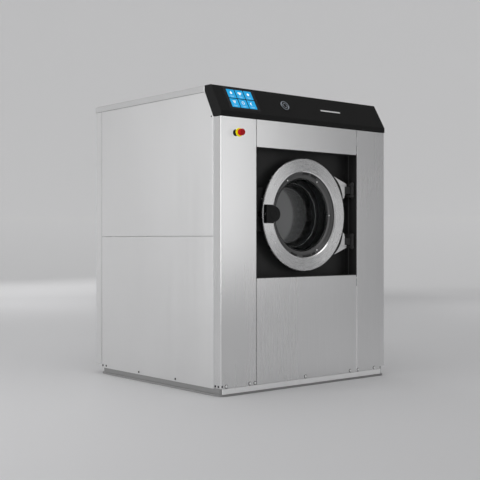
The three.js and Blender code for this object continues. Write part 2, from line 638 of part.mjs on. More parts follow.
piece("drain_hose", finish.rubber, () => {
  const boreR = 40, valleyR = 47, ribR = 54, ribs = 4;
  const bottom = DRAIN_Z + 56.5, top = 345.5, pitch = (top - DRAIN_Z - 70) / ribs;
  const profile = [[boreR, bottom], [valleyR, bottom]];
  for (let i = 0; i < ribs; i++) {
    const z = DRAIN_Z + 62 + pitch * i;
    profile.push([valleyR, z], [ribR, z + pitch / 2]);
  }
  profile.push([valleyR, top - 6], [valleyR, top], [boreR, top]);
  return solid(lathe(profile, 20).rotateX(Math.PI / 2));
});

piece("drain_outlet_pipe", finish.black, () => {
  // Elbow from straight down to straight back.
  const elbow = (radius, topZ, rearY) => join(
    cylZ(radius, DRAIN_Z, topZ, 0, 0, 16),
    cylY(radius, 0, rearY, 0, DRAIN_Z, 16),
    solid(new THREE.SphereGeometry(radius, 16, 8).translate(0, 0, DRAIN_Z)));
  return cut(elbow(40, DRAIN_Z + 56, 700), elbow(35, 240, 720));
});

export default machine;
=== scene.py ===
# A commercial front-loading laundry machine: its looks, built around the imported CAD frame.
# The world is in metres with +Z up; the front faces -Y, left is -X and the floor is z = 0.
# The pieces are drawn in millimetres and scaled by MM where their vertices are made.
from math import acos, atan2, cos, degrees, hypot, pi, radians, sin, tan

import bmesh
import bpy
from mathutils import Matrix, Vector


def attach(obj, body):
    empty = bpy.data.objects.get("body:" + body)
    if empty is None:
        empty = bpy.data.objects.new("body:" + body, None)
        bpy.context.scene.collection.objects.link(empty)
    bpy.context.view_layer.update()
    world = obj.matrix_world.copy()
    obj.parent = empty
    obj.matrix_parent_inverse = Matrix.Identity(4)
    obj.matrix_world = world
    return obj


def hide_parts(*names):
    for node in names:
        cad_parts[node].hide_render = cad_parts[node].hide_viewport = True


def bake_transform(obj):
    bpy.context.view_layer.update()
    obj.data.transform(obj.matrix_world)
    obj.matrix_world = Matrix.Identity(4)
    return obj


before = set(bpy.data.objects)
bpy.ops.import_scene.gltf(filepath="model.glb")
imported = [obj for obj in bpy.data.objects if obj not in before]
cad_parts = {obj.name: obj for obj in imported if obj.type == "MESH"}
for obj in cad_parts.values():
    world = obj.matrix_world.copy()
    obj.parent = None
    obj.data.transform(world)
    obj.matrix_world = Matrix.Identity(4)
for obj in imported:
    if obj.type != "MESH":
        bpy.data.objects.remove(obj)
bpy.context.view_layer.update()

MM = 0.001
DRUM_Z = 1055                          # height of the drum axis, which runs along Y at x = 0
HINGE_RISE = 165                       # each hinge above or below the drum axis
STOP_X, STOP_Z = -590, 1518            # emergency stop
SHEET = 2                              # thickness of the casing sheets
SHEET_X, SHEET_Y = 698, -673           # outer faces of the side sheets and of the front sheets
SINK = 0.1                             # how far a fastener sits into its sheet
CONSOLE_Y, LIP_Z = -675.0, 1642.0      # foot of the sloping console face
SLOPE_RUN, SLOPE_RISE = 93.0, 158.0    # the slope from its foot to its top
TO_FRONT, TO_REAR = (0, -1, 0), (0, 1, 0)

# ------------------------------------------------------------------ materials
MATERIALS = {}


def grey(value):
    return (value, value, value)


class Surface:
    """A new material, with shorthands for wiring its nodes."""

    def __init__(self, name):
        material = bpy.data.materials.new(name)
        material.use_nodes = True
        MATERIALS[name] = material
        self.tree = material.node_tree
        self.shader = self.tree.nodes["Principled BSDF"]

    def feed(self, target, value):
        """Give a socket, or a named input of the main shader, a constant or a link."""
        if isinstance(target, str):
            target = self.shader.inputs[target]
        if isinstance(value, bpy.types.NodeSocket):
            self.tree.links.new(value, target)
        else:
            target.default_value = value

    def node(self, kind, inputs=(), **settings):
        node = self.tree.nodes.new("ShaderNode" + kind)
        for key, value in settings.items():
            setattr(node, key, value)
        for key, value in dict(inputs).items():
            self.feed(node.inputs[key], value)
        return node

    def position(self):
        return self.node("TexCoord").outputs["Object"]

    def split(self, vector):
        return self.node("SeparateXYZ", {0: vector}).outputs

    def combine(self, x, y, z):
        return self.node("CombineXYZ", {0: x, 1: y, 2: z}).outputs[0]

    def noise(self, scale, stretch=(1, 1, 1), detail=4.0, roughness=0.6, vector=None):
        texture = self.node("TexNoise",
                            {"Scale": scale, "Detail": detail, "Roughness": roughness})
        mapping = self.node("Mapping", {"Scale": stretch})
        self.feed(mapping.inputs["Vector"], self.position() if vector is None else vector)
        self.feed(texture.inputs["Vector"], mapping.outputs["Vector"])
        return texture.outputs["Fac"]

    def remap(self, value, low, high, start=0.3, end=0.7):
        """Turn start..end into low..high."""
        return self.node("MapRange", {"From Min": start, "From Max": end, "To Min": low,
                                      "To Max": high, "Value": value}).outputs["Result"]

    def vary(self, value, centre, spread):
        return self.remap(value, centre - spread, centre + spread)

    def math(self, operation, *values):
        node = self.node("Math", operation=operation)
        for socket, value in zip(node.inputs, values):
            self.feed(socket, value)
        return node.outputs[0]

    def multiply(self, a, b):
        return self.math("MULTIPLY", a, b)

    def length(self, a, b):
        return self.math("SQRT", self.math("ADD", self.multiply(a, a), self.multiply(b, b)))

    def tint(self, colour, factor):
        """Base colour: a fixed colour times a varying factor."""
        scaled = self.node("VectorMath", {0: colour, "Scale": factor}, operation="SCALE")
        self.feed("Base Color", scaled.outputs[0])
        return scaled.outputs[0]

    def bump(self, height, strength, distance):
        node = self.node("Bump", {"Strength": strength, "Distance": distance, "Height": height})
        self.feed("Normal", node.outputs["Normal"])

    def mix(self, factor, first, second):
        return self.node("MixShader", {0: factor, 1: first, 2: second}).outputs[0]

    def output(self, shader):
        self.feed(self.tree.nodes["Material Output"].inputs["Surface"], shader)


def brushed(name, base, rough, grain="Z", metallic=1.0, amount=0.05, darker_low=False,
            anisotropy=0.0, spread=0.06, streak=None, relief=0.08):
    """Metal brushed along one axis; amount and streak vary its colour, spread its roughness."""
    if streak is None:
        streak = amount * 0.6
    s = Surface(name)
    fine = s.noise(1.0, [6 if axis == grain else 900 for axis in "XYZ"],
                   detail=3.0, roughness=0.7)
    mid = s.noise(1.0, [6 / 10 if axis == grain else 900 / 14 for axis in "XYZ"], detail=3.0)
    broad = s.noise(0.9, (1, 1, 0.6), detail=2.0, roughness=0.5)
    tone = s.multiply(s.vary(fine, 1, amount), s.remap(broad, 0.97, 1.03))
    tone = s.multiply(tone, s.vary(mid, 1, streak))
    # only a colour gradient: darker towards the floor
    if darker_low:      # slightly darker close to the floor
        height = s.split(s.position())["Z"]
        tone = s.multiply(tone, s.remap(height, low=0.94, high=1.0, start=0.0, end=0.55))
    s.tint(base, tone)
    s.feed("Metallic", metallic)
    s.feed("Roughness", s.math("ADD", s.vary(mid, rough, spread), s.remap(broad, -0.03, 0.03)))
    if anisotropy:
        s.feed("Anisotropic", anisotropy)
        s.feed("Tangent", s.node("Tangent", direction_type="RADIAL", axis=grain).outputs[0])
    s.bump(fine, strength=relief, distance=0.0002)


def turned(name, base, rough, amount, anisotropy):
    """Metal brushed in circles about the drum axis."""
    s = Surface(name)
    place = s.split(s.position())
    x = s.math("SUBTRACT", place["X"], 0)
    z = s.math("SUBTRACT", place["Z"], DRUM_Z * MM)
    radius = s.length(x, z)
    angle = s.math("ARCTAN2", z, x)

    def rings(radial, around, roughness):
        """Noise with one frequency across the circles and another along them."""
        vector = s.combine(s.multiply(radius, radial),
                           s.multiply(s.math("SINE", angle), around),
                           s.multiply(s.math("COSINE", angle), around))
        return s.noise(1.0, detail=3.0, roughness=roughness, vector=vector)

    fine = rings(radial=2600.0, around=2.2, roughness=0.7)
    wide = rings(radial=300.0, around=5.0, roughness=0.6)
    s.tint(base, s.multiply(s.vary(fine, 1, amount), s.remap(wide, 0.90, 1.10)))
    s.feed("Metallic", 1.0)
    s.feed("Roughness", s.vary(wide, rough, 0.05))
    s.feed("Anisotropic", anisotropy)
    # radial tangent: reflections spread across the grain
    tangent = s.node("VectorMath", {0: s.combine(x, 0.0, z)}, operation="NORMALIZE")
    s.feed("Tangent", tangent.outputs[0])
    s.bump(fine, strength=0.10, distance=0.0002)


def painted(name, base, rough=0.45, metallic=0.0, peel=0.10, specular=0.4, wear=0.04,
            grain_scale=350.0, glow=0.0):
    """Paint or plastic; peel is the surface relief, wear the broad change of colour."""
    s = Surface(name)
    grain = s.noise(grain_scale)
    broad = s.noise(5.0, detail=3.0)
    colour = s.tint(base, s.multiply(s.vary(broad, 1, wear), s.remap(grain, 0.97, 1.03)))
    s.feed("Metallic", metallic)
    s.feed("Specular IOR Level", specular)
    s.feed("Roughness", s.vary(broad, rough, 0.05))
    s.bump(grain, strength=peel, distance=0.0004)
    if glow:        # painted light: the plastic glows a little in its own colour, though it is no lamp
        s.feed("Emission Color", colour)
        s.feed("Emission Strength", glow)


def cast(name, base, rough, metallic, scale, relief):
    """Pebbled casting or moulding."""
    s = Surface(name)
    cells = s.node("TexVoronoi", {"Scale": scale, "Vector": s.position()})
    grain = s.noise(scale * 0.6, detail=6.0)
    height = s.math("ADD", cells.outputs["Distance"], grain)
    s.tint(base, s.remap(s.noise(12.0), 0.9, 1.1))
    s.feed("Metallic", metallic)
    s.feed("Roughness", s.vary(grain, rough, 0.08))
    s.bump(height, strength=relief, distance=0.0006)


def lit(name, colour, strength):
    """Glowing print on the screen."""
    s = Surface(name)
    s.feed("Base Color", (0.02, 0.02, 0.02, 1))
    cloud = s.noise(30.0, detail=2.0)
    s.feed("Roughness", 0.3)
    s.feed("Specular IOR Level", 0.15)
    s.feed("Emission Color", (*colour, 1))
    s.feed("Emission Strength", s.remap(cloud, strength * 0.94, strength * 1.06))


def bowl_glass():
    """Door glass: its inner end half covered by painted light and shade, grey with a lighter
    crescent towards the left, and letting shadow and diffuse rays through.
    """
    s = Surface("bowl_glass")
    s.feed("Base Color", (0.78, 0.81, 0.81, 1))
    s.feed("Transmission Weight", 1.0)
    s.feed("IOR", 1.48)
    s.feed("Roughness", s.remap(s.noise(9.0, detail=3.0), 0.015, 0.05))
    s.bump(s.noise(14.0), strength=0.03, distance=0.004)
    place = s.split(s.position())
    dz = s.math("SUBTRACT", place["Z"], DRUM_Z * MM)

    def radius(centre_x):
        return s.length(s.math("SUBTRACT", place["X"], centre_x), dz)

    end = s.multiply(s.remap(radius(0.0), low=1.0, high=0.0, start=0.172, end=0.178),
                     s.remap(place["Y"], low=0.0, high=1.0, start=-0.472, end=-0.467))
    # painted light and shade on the inner end: lighter towards a point left of the axis, darker
    # further out
    tone = s.remap(radius(-0.130), low=0.42, high=0.15, start=0.182, end=0.206)
    painted_end_light = s.node("BsdfPrincipled",
                  {"Base Color": s.combine(tone, tone, tone), "Roughness": 0.35})
    glass_with_painted_end = s.mix(s.multiply(end, 0.5), s.shader.outputs[0], painted_end_light.outputs[0])
    ray = s.node("LightPath").outputs
    passing = s.math("MAXIMUM", ray["Is Shadow Ray"], ray["Is Diffuse Ray"])
    clear = s.node("BsdfTransparent", {"Color": (0.8, 0.83, 0.83, 1)})
    s.output(s.mix(passing, glass_with_painted_end, clear.outputs[0]))


def studio_paper():
    """Backdrop paper, seen from its inner side only."""
    s = Surface("studio_paper")
    s.feed("Base Color", (0.74, 0.74, 0.75, 1))
    s.feed("Roughness", 0.75)
    s.feed("Specular IOR Level", 0.2)
    geometry = s.node("NewGeometry").outputs
    place = s.split(geometry["Position"])
    away = s.length(place["X"], place["Y"])
    back = s.multiply(s.remap(away, low=0.0, high=1.0, start=1.6, end=9.0),
                      s.remap(place["Z"], low=0.16, high=0.95, start=0.0, end=1.3))
    s.feed("Emission Color", (1, 1, 1, 1))
    # glows for camera rays only: evens out the ground and adds no light to the machine
    seen = s.node("LightPath").outputs["Is Camera Ray"]
    behind = s.multiply(s.remap(away, low=0.0, high=0.12, start=7.9, end=8.6),
                        s.remap(place["Z"], low=1.0, high=0.0, start=0.25, end=1.35))
    glow = s.math("ADD", s.multiply(back, 0.26), behind)
    s.feed("Emission Strength", s.multiply(glow, seen))
    clear = s.node("BsdfTransparent")
    s.output(s.mix(geometry["Backfacing"], s.shader.outputs[0], clear.outputs[0]))


brushed("side_steel", grey(0.80), rough=0.42, metallic=0.9, amount=0.012, darker_low=True,
        anisotropy=0.35, spread=0.04, streak=0.004, relief=0.04)
brushed("front_steel", grey(0.80), rough=0.27, amount=0.03, darker_low=True,
        anisotropy=0.4, spread=0.008, streak=0.006)
brushed("kick_steel", grey(0.95), rough=0.5, grain="X", amount=0.03)
brushed("rear_steel", (0.50, 0.51, 0.52), rough=0.46, metallic=0.9, amount=0.03, darker_low=True,
        anisotropy=0.35, streak=0.01)
brushed("lid_steel", grey(0.80), rough=0.46, grain="Y", metallic=0.85, amount=0.025,
        anisotropy=0.35)
turned("ring_steel", grey(0.75), rough=0.27, amount=0.10, anisotropy=0.93)
brushed("tub_steel", (0.62, 0.62, 0.63), rough=0.34, grain="Y")
brushed("badge_steel", (0.42, 0.46, 0.52), rough=0.32, grain="X", amount=0.10)
brushed("strip_steel", grey(0.72), rough=0.30, grain="X")
brushed("zinc", (0.62, 0.63, 0.65), rough=0.38)
painted("galvanised", (0.42, 0.43, 0.44), rough=0.5, metallic=0.6, specular=0.5, wear=0.12,
        grain_scale=60.0)
painted("plinth_paint", grey(0.30), rough=0.5, metallic=0.2, peel=0.08)
painted("black_paint", grey(0.034), rough=0.5, peel=0.12, specular=0.3)
painted("console_black", grey(0.025), rough=0.6, specular=0.02, wear=0.03, grain_scale=700.0)
painted("black_plastic", grey(0.013), rough=0.5, peel=0.25, specular=0.18, wear=0.05,
        grain_scale=900.0)
painted("screen_glass", (0.006, 0.006, 0.008), rough=0.08, peel=0.0, specular=0.5, wear=0.0)
painted("red_plastic", (0.60, 0.004, 0.008), rough=0.42, peel=0.05, specular=0.22, wear=0.03)
# painted light: the yellow stop ring glows a little
painted("yellow_plastic", (1.0, 0.94, 0.0), peel=0.05, specular=0.3, wear=0.03, glow=0.30)
painted("motor_paint", (0.05, 0.08, 0.11), peel=0.2, specular=0.45, wear=0.1)
painted("spring_black", (0.03, 0.03, 0.032), rough=0.42, metallic=0.3, specular=0.5)
painted("bezel_grey", grey(0.13), rough=0.34, metallic=0.5, peel=0.05, specular=0.5)
painted("pale_print", grey(0.86), rough=0.4, peel=0.02, specular=0.5, wear=0.01)
cast("rubber", grey(0.013), rough=0.68, metallic=0.0, scale=500.0, relief=0.15)
cast("cast_iron", (0.10, 0.105, 0.11), rough=0.62, metallic=0.4, scale=200.0, relief=0.5)
cast("cast_arm", grey(0.85), rough=0.45, metallic=0.35, scale=260.0, relief=0.12)
brushed("brass", (0.66, 0.46, 0.20), rough=0.4, grain="Y", amount=0.08)
lit("tile_blue", (0.004, 0.36, 0.72), strength=1.0)
brushed("screw_steel", grey(0.92), rough=0.22, amount=0.02)
brushed("edge_steel", grey(0.95), rough=0.16, amount=0.02)
lit("icon_white", (0.95, 0.98, 1.0), strength=1.05)
lit("caption_white", (0.40, 0.72, 1.0), strength=0.9)
bowl_glass()

# ------------------------------------------------------------------ objects and modifiers
FLOWING = ("bowl_glass", "rubber", "spring_black")      # materials of soft and rounded shapes


def add_bevel(obj, width, segments, angle=30.0):
    bevel = obj.modifiers.new("edge", "BEVEL")
    bevel.width = width * MM
    bevel.segments = segments
    bevel.limit_method = "ANGLE"
    bevel.angle_limit = radians(angle)
    bevel.harden_normals = True


def weight_normals(obj):
    """Large flats keep their true direction beside small radii."""
    obj.modifiers.new("wn", "WEIGHTED_NORMAL").keep_sharp = True


def shade_smooth(data, sharp_angle):
    data.polygons.foreach_set("use_smooth", [True] * len(data.polygons))
    data.set_sharp_from_angle(angle=radians(sharp_angle))


def finish(name, mesh, material, body, smooth=35.0, bevel=0.0, segments=2, bevel_angle=30.0,
           slot=None, replaces=None):
    """Turn a bmesh into an object, riding on a body of the machine if one is named."""
    bmesh.ops.remove_doubles(mesh, verts=mesh.verts, dist=1e-7)
    bmesh.ops.recalc_face_normals(mesh, faces=mesh.faces)
    data = bpy.data.meshes.new(name)
    mesh.to_mesh(data)
    mesh.free()
    shade_smooth(data, smooth)
    obj = bpy.data.objects.new(name, data)
    bpy.context.scene.collection.objects.link(obj)
    data.materials.append(MATERIALS[material])
    if bevel:
        add_bevel(obj, bevel, segments, bevel_angle)
    if body and material not in FLOWING:
        weight_normals(obj)
    if body:
        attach(obj, body)
    if replaces:
        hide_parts(replaces)
    return obj


def cut(obj, outline, start, end, place, material):
    """Take a prism out of an object."""
    cutter = prism("cutter", outline, start, end, place, material, None)
    obj.modifiers.clear()
    modifier = obj.modifiers.new("cut", "BOOLEAN")
    modifier.operation = "DIFFERENCE"
    modifier.solver = "EXACT"
    modifier.object = cutter
    bpy.context.view_layer.update()
    depsgraph = bpy.context.evaluated_depsgraph_get()
    data = bpy.data.meshes.new_from_object(obj.evaluated_get(depsgraph))
    obj.modifiers.remove(modifier)
    obj.data = data
    bpy.data.objects.remove(cutter)
    shade_smooth(data, 35)
    weight_normals(obj)


# ------------------------------------------------------------------ outlines
def fillet(points, radii, steps=4, closed=True):
    """Round the corners of an outline; radii is one number or one per point."""
    out = []
    for i, point in enumerate(points):
        radius = radii[i] if isinstance(radii, (list, tuple)) else radii
        if radius <= 0 or (not closed and i in (0, len(points) - 1)):
            out.append(tuple(point))
            continue
        corner = Vector(point)
        before = Vector(points[i - 1]) - corner
        after = Vector(points[(i + 1) % len(points)]) - corner
        before_length, after_length = before.length, after.length
        before.normalize()
        after.normalize()
        angle = before.angle(after)
        if angle > pi - 0.03:       # nearly straight: nothing to round
            out.append(tuple(point))
            continue
        reach = min(radius / tan(angle / 2), before_length * 0.49, after_length * 0.49)
        start, end = corner + before * reach, corner + after * reach
        for k in range(steps + 1):
            t = k / steps
            out.append(tuple((1 - t) ** 2 * start + 2 * t * (1 - t) * corner + t * t * end))
    return out


def rounded_rect(x0, x1, y0, y1, radius, steps=5):
    return fillet([(x0, y0), (x1, y0), (x1, y1), (x0, y1)], radius, steps)


def arc(cx, cy, radius, steps, start, end):
    angles = [start + (end - start) * k / steps for k in range(steps + 1)]
    return [(cx + radius * cos(a), cy + radius * sin(a)) for a in angles]


def sector(cx, cy, first_radius, second_radius, steps, start, end):
    return (arc(cx, cy, first_radius, steps, start, end)
            + arc(cx, cy, second_radius, steps, start, end)[::-1])


def catmull(points, steps):
    """Smooth curve through the points."""
    P = [Vector(p) for p in points]
    P = [P[0] * 2 - P[1]] + P + [P[-1] * 2 - P[-2]]
    out = []
    for a, b, c, d in zip(P, P[1:], P[2:], P[3:]):
        for k in range(steps):
            t = k / steps
            out.append(0.5 * ((2 * b) + (c - a) * t + (2 * a - 5 * b + 4 * c - d) * t * t
                              + (3 * b - a - 3 * c + d) * t ** 3))
    out.append(P[-2])
    return out


# ------------------------------------------------------------------ placing
# A prism's place turns (u, v, depth) into metres, a lathe's turns (radius, along, angle).
def on_xz(u, v, depth):
    return (u * MM, depth * MM, v * MM)


def on_yz(u, v, depth):
    return (depth * MM, u * MM, v * MM)


def on_xy(u, v, depth):
    return (u * MM, v * MM, depth * MM)


SLOPE = hypot(SLOPE_RUN, SLOPE_RISE)
SLOPE_Y, SLOPE_Z = SLOPE_RUN / SLOPE, SLOPE_RISE / SLOPE


def on_console(u, v, depth):
    """On the sloping face: u across, v up the slope from the lip, depth outwards."""
    return (u * MM, (CONSOLE_Y + v * SLOPE_Y - depth * SLOPE_Z) * MM,
            (LIP_Z + v * SLOPE_Z + depth * SLOPE_Y) * MM)


def axis_y(cx, cz):
    return lambda r, along, t: ((cx + r * cos(t)) * MM, along * MM, (cz + r * sin(t)) * MM)


def axis_z(cx, cy):
    return lambda r, along, t: ((cx + r * cos(t)) * MM, (cy + r * sin(t)) * MM, along * MM)


def axis_along(origin, normal):
    axis = Vector(normal).normalized()
    u = axis.orthogonal().normalized()
    v = axis.cross(u)
    origin = Vector(origin)
    return lambda r, along, t: tuple(
        (origin + axis * along + u * (r * cos(t)) + v * (r * sin(t))) * MM)


AROUND_DRUM = axis_y(0, DRUM_Z)


# ------------------------------------------------------------------ solids
def bridge(mesh, first, second):
    """Join two rings of vertices; a ring of one vertex is a tip."""
    count = max(len(first), len(second))
    for k in range(count):
        after = (k + 1) % count
        corners = [first[k], first[after]] if len(first) > 1 else [first[0]]
        corners += [second[after], second[k]] if len(second) > 1 else [second[0]]
        if len(corners) > 2:
            mesh.faces.new(corners)


def add_lathe(mesh, profile, segments, place, radii=0, steps=3):
    """Turn a profile of (radius, along); it is closed unless both its ends are on the axis."""
    on_axis = profile[0][0] < 1e-6 and profile[-1][0] < 1e-6
    rings = []
    for r, along in fillet(profile, radii, steps, closed=not on_axis):
        if r < 1e-6:
            rings.append([mesh.verts.new(place(0, along, 0))])
        else:
            rings.append([mesh.verts.new(place(r, along, 2 * pi * k / segments))
                          for k in range(segments)])
    for i in range(len(rings) - 1 if on_axis else len(rings)):
        bridge(mesh, rings[i], rings[(i + 1) % len(rings)])


def lathe(name, profile, segments, place, material, body, radii=0, steps=3, **options):
    mesh = bmesh.new()
    add_lathe(mesh, profile, segments, place, radii, steps)
    return finish(name, mesh, material, body, **options)


def add_prism(mesh, outline, start, end, place):
    low = [mesh.verts.new(place(u, v, start)) for u, v in outline]
    high = [mesh.verts.new(place(u, v, end)) for u, v in outline]
    mesh.faces.new(low)
    mesh.faces.new(high[::-1])
    for i in range(len(low)):
        after = (i + 1) % len(low)
        mesh.faces.new([low[after], low[i], high[i], high[after]])


def prism(name, outline, start, end, place, material, body, **options):
    mesh = bmesh.new()
    add_prism(mesh, outline, start, end, place)
    return finish(name, mesh, material, body, **options)


def add_bar(mesh, points, radii, sides, caps=True):
    """Round bar along a path, its section carried without twisting."""
    points = [Vector(p) for p in points]
    last = len(points) - 1
    tangents = [(points[min(i + 1, last)] - points[max(i - 1, 0)]).normalized()
                for i in range(last + 1)]
    u = tangents[0].orthogonal().normalized()
    rings = []
    for i, (point, tangent) in enumerate(zip(points, tangents)):
        if i:
            u = tangents[i - 1].rotation_difference(tangent) @ u
        u = (u - tangent * u.dot(tangent)).normalized()
        v = tangent.cross(u)
        radius = radii[i] if isinstance(radii, list) else radii
        angles = [2 * pi * k / sides for k in range(sides)]
        rings.append([mesh.verts.new((point + (u * cos(a) + v * sin(a)) * radius) * MM)
                      for a in angles])
    for first, second in zip(rings, rings[1:]):
        bridge(mesh, first, second)
    if caps:
        mesh.faces.new(rings[0][::-1])
        mesh.faces.new(rings[-1])
    return rings


# ------------------------------------------------------------------ CAD pieces that stay
# material, bevel width, bevel segments, nodes
CAD_FINISHES = [
    ("side_steel", 0.8, 2, "rear_panel"),
    ("rear_steel", 0.8, 2, "rear_service_cover"),
    ("front_steel", 0.9, 2, "front_upper_panel front_lower_panel"),
    ("black_paint", 0.8, 2, "recess_surround door_plate"),
    ("plinth_paint", 1.2, 2, "base_frame"),
    ("galvanised", 1.5, 2, "cabinet_frame tub_cradle inverter_cabinet"),
    ("black_plastic", 2.0, 2, "drain_valve"),
    ("black_paint", 0.8, 2, "damper_body_left damper_body_right"),
    ("zinc", 0.6, 2, "damper_rod_left damper_rod_right front_bearing rear_bearing latch_hook"),
    ("black_paint", 0.8, 2, "hinge_pin_upper hinge_pin_lower"),
    ("cast_iron", 1.5, 2, "bearing_housing drum_shaft drum_pulley motor_pulley"),
    ("motor_paint", 2.0, 2, "motor"),
    ("brass", 1.5, 2, "inlet_valve_block"),
    ("black_paint", 0.8, 2, "hinge_bracket_upper hinge_bracket_lower"),
    ("black_plastic", 0.8, 2, "handle_base"),
    ("black_plastic", 2.6, 4, "door_handle"),
    ("black_plastic", 2.0, 3, "lock_housing"),
]


def finish_cad():
    for material, bevel, segments, nodes in CAD_FINISHES:
        for node in nodes.split():
            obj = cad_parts[node]
            if not obj.data.materials:
                obj.data.materials.append(MATERIALS[material])
            for slot in obj.material_slots:
                slot.material = MATERIALS[material]
            obj.modifiers.new("weld", "WELD").merge_threshold = 2e-5
            add_bevel(obj, bevel, segments)


finish_cad()


# ------------------------------------------------------------------ casing sheets
# side is -1 for the left sheets and 1 for the right ones
def side_sheets(name, side):
    front, back, fold = -603.5, 606.5, 683
    inner_x = SHEET_X - SHEET
    outline = [(fold, front), (694, front), (SHEET_X, front + 4.2), (SHEET_X, back),
               (fold, back), (fold, back - SHEET), (inner_x, back - SHEET),
               (inner_x, front + SHEET), (fold, front + SHEET)]
    outline = fillet([(side * x, y) for x, y in outline], [0, 2, 2, 3, 0, 0, 1.2, 3, 0])
    gap = 0.05                  # keeps the flanges clear of the skin
    y0, y1 = front + SHEET + gap, back - SHEET - gap
    flange = [(side * fold, y0), (side * (inner_x - gap), y0),
              (side * (inner_x - gap), y1), (side * fold, y1)]
    # part, bottom, top, undersides of its flanges
    for part, bottom, top, flanges in (("lower", 41, 920, (918,)),
                                       ("upper", 922, 1760, (922, 1758))):
        mesh = bmesh.new()
        add_prism(mesh, outline, bottom, top, on_xy)
        for z in flanges:
            add_prism(mesh, flange, z, z + SHEET, on_xy)
        sheet = finish(f"{name}_{part}_sheet", mesh, "side_steel", "cabinet",
                       replaces=f"{name}_{part}_panel", slot="casing_sheet")
    # the front top corner of the upper sheet follows the console
    cut(sheet, [(-614, 1589.5), (-514, 1780), (-650, 1780), (-650, 1589.5)],
        *sorted((side * 670, side * 710)), on_yz, "side_steel")


def corner_sheet(name, side):
    seam, right = 429, side > 0
    inner_x, inner_y = SHEET_X - SHEET, SHEET_Y + SHEET
    seam_flat, corner_flat = (8.0, 4.5) if right else (2.0, 4.0)
    outline = [
        (seam, -658), (seam, SHEET_Y + seam_flat), (seam + seam_flat, SHEET_Y),
        (SHEET_X - corner_flat, SHEET_Y), (SHEET_X, SHEET_Y + corner_flat), (SHEET_X, -606),
        (686, -606), (686, -608), (inner_x, -608), (inner_x, -672.2 + corner_flat),
        (697.2 - corner_flat, inner_y), (429.8 + seam_flat, inner_y),
        (seam + SHEET, -672.2 + seam_flat), (seam + SHEET, -658)]
    mesh = bmesh.new()
    add_prism(mesh, fillet([(side * x, y) for x, y in outline],
                           [0, 1.5, 1.5, 1.5, 1.5, 2.5, 0, 0, 0.8, 1, 1, 1, 1, 0], 3),
              62 if right else 46, 1609, on_xy)
    if right:                   # its foot stops short of the outer corner
        foot = [(429, -658), (429, -665), (437, -673), (653, -673),
                (653, -671), (437.8, -671), (431, -664.2), (431, -658)]
        add_prism(mesh, fillet(foot, [0, 1.5, 1.5, 0, 0, 1, 1, 0], 3), 46, 62, on_xy)
    add_prism(mesh, [(side * 438, -670.9), (side * 690, -670.9),
                     (side * 690, -641), (side * 438, -641)], 1607, 1609, on_xy)
    sheet = finish(f"front_{name}_corner_sheet", mesh, "front_steel", "cabinet", bevel=0.8,
                   bevel_angle=50, replaces=f"front_{name}_column", slot="front_sheet")
    # painted highlight: narrow flats facing front-left get the brighter edge_steel
    sheet.data.materials.append(MATERIALS["edge_steel"])
    for face in sheet.data.polygons:
        if -0.7071 * face.normal.x - 0.7071 * face.normal.y > 0.93 and face.area > 1e-4:
            face.material_index = 1


def lid_sheet():
    """Pressed tray, open below, with rolled edges."""
    # inset, height
    outer = [(0.0, 1762.0), (0.0, 1795.5), (0.5, 1797.7), (1.6, 1799.2), (3.4, 1799.9),
             (4.8, 1800.0)]
    inner = [(6.0, 1798.0), (3.0, 1796.5), (2.0, 1794.0), (2.0, 1762.0)]
    mesh = bmesh.new()

    def ring(inset, z):
        outline = rounded_rect(-700 + inset, 700 - inset, -522 + inset, 683 - inset,
                               max(6 - inset * 0.7, 1.0))
        return [mesh.verts.new((x * MM, y * MM, z * MM)) for x, y in outline]

    outer = [ring(*station) for station in outer]
    inner = [ring(*station) for station in inner]
    for first, second in zip(outer, outer[1:]):
        bridge(mesh, first, second)
    mesh.faces.new(outer[-1])
    for first, second in zip(inner, inner[1:]):
        bridge(mesh, first, second)
    mesh.faces.new(inner[0][::-1])
    bridge(mesh, inner[-1], outer[0])
    finish("lid_sheet", mesh, "lid_steel", "cabinet", smooth=50, replaces="top_cover",
           slot="casing_sheet")


for side_name, side_sign in (("left", -1), ("right", 1)):
    side_sheets(side_name, side_sign)
    corner_sheet(side_name, side_sign)
lid_sheet()
prism("kick_strip", rounded_rect(-686, 660, -674, -665.2, 2.5, 3), 13.0, 45.0, on_xy,
      "kick_steel", "cabinet", bevel=1.2, slot="front_sheet")


# ------------------------------------------------------------------ console
def console_shell():
    profile = [(CONSOLE_Y, 1611), (-604, 1611), (-523, 1767), (-523, LIP_Z + SLOPE_RISE),
               (CONSOLE_Y + SLOPE_RUN, LIP_Z + SLOPE_RISE), (CONSOLE_Y, LIP_Z)]
    mesh = bmesh.new()
    add_prism(mesh, fillet(profile, [5, 2, 2, 3, 7, 9], 5), -700, 700, on_yz)
    bmesh.ops.recalc_face_normals(mesh, faces=mesh.faces)
    end_edges = [e for e in mesh.edges if abs(e.verts[0].co.x - e.verts[1].co.x) < 1e-6]
    bmesh.ops.bevel(mesh, geom=end_edges, offset=0.008, segments=5, profile=0.5,
                    affect="EDGES", clamp_overlap=True)
    shell = finish("console_shell", mesh, "console_black", "cabinet", smooth=40,
                   replaces="console_housing", slot="console_black")
    cut(shell, rounded_rect(-622, -384, 17, 177, 5), -12, 10, on_console, "console_black")


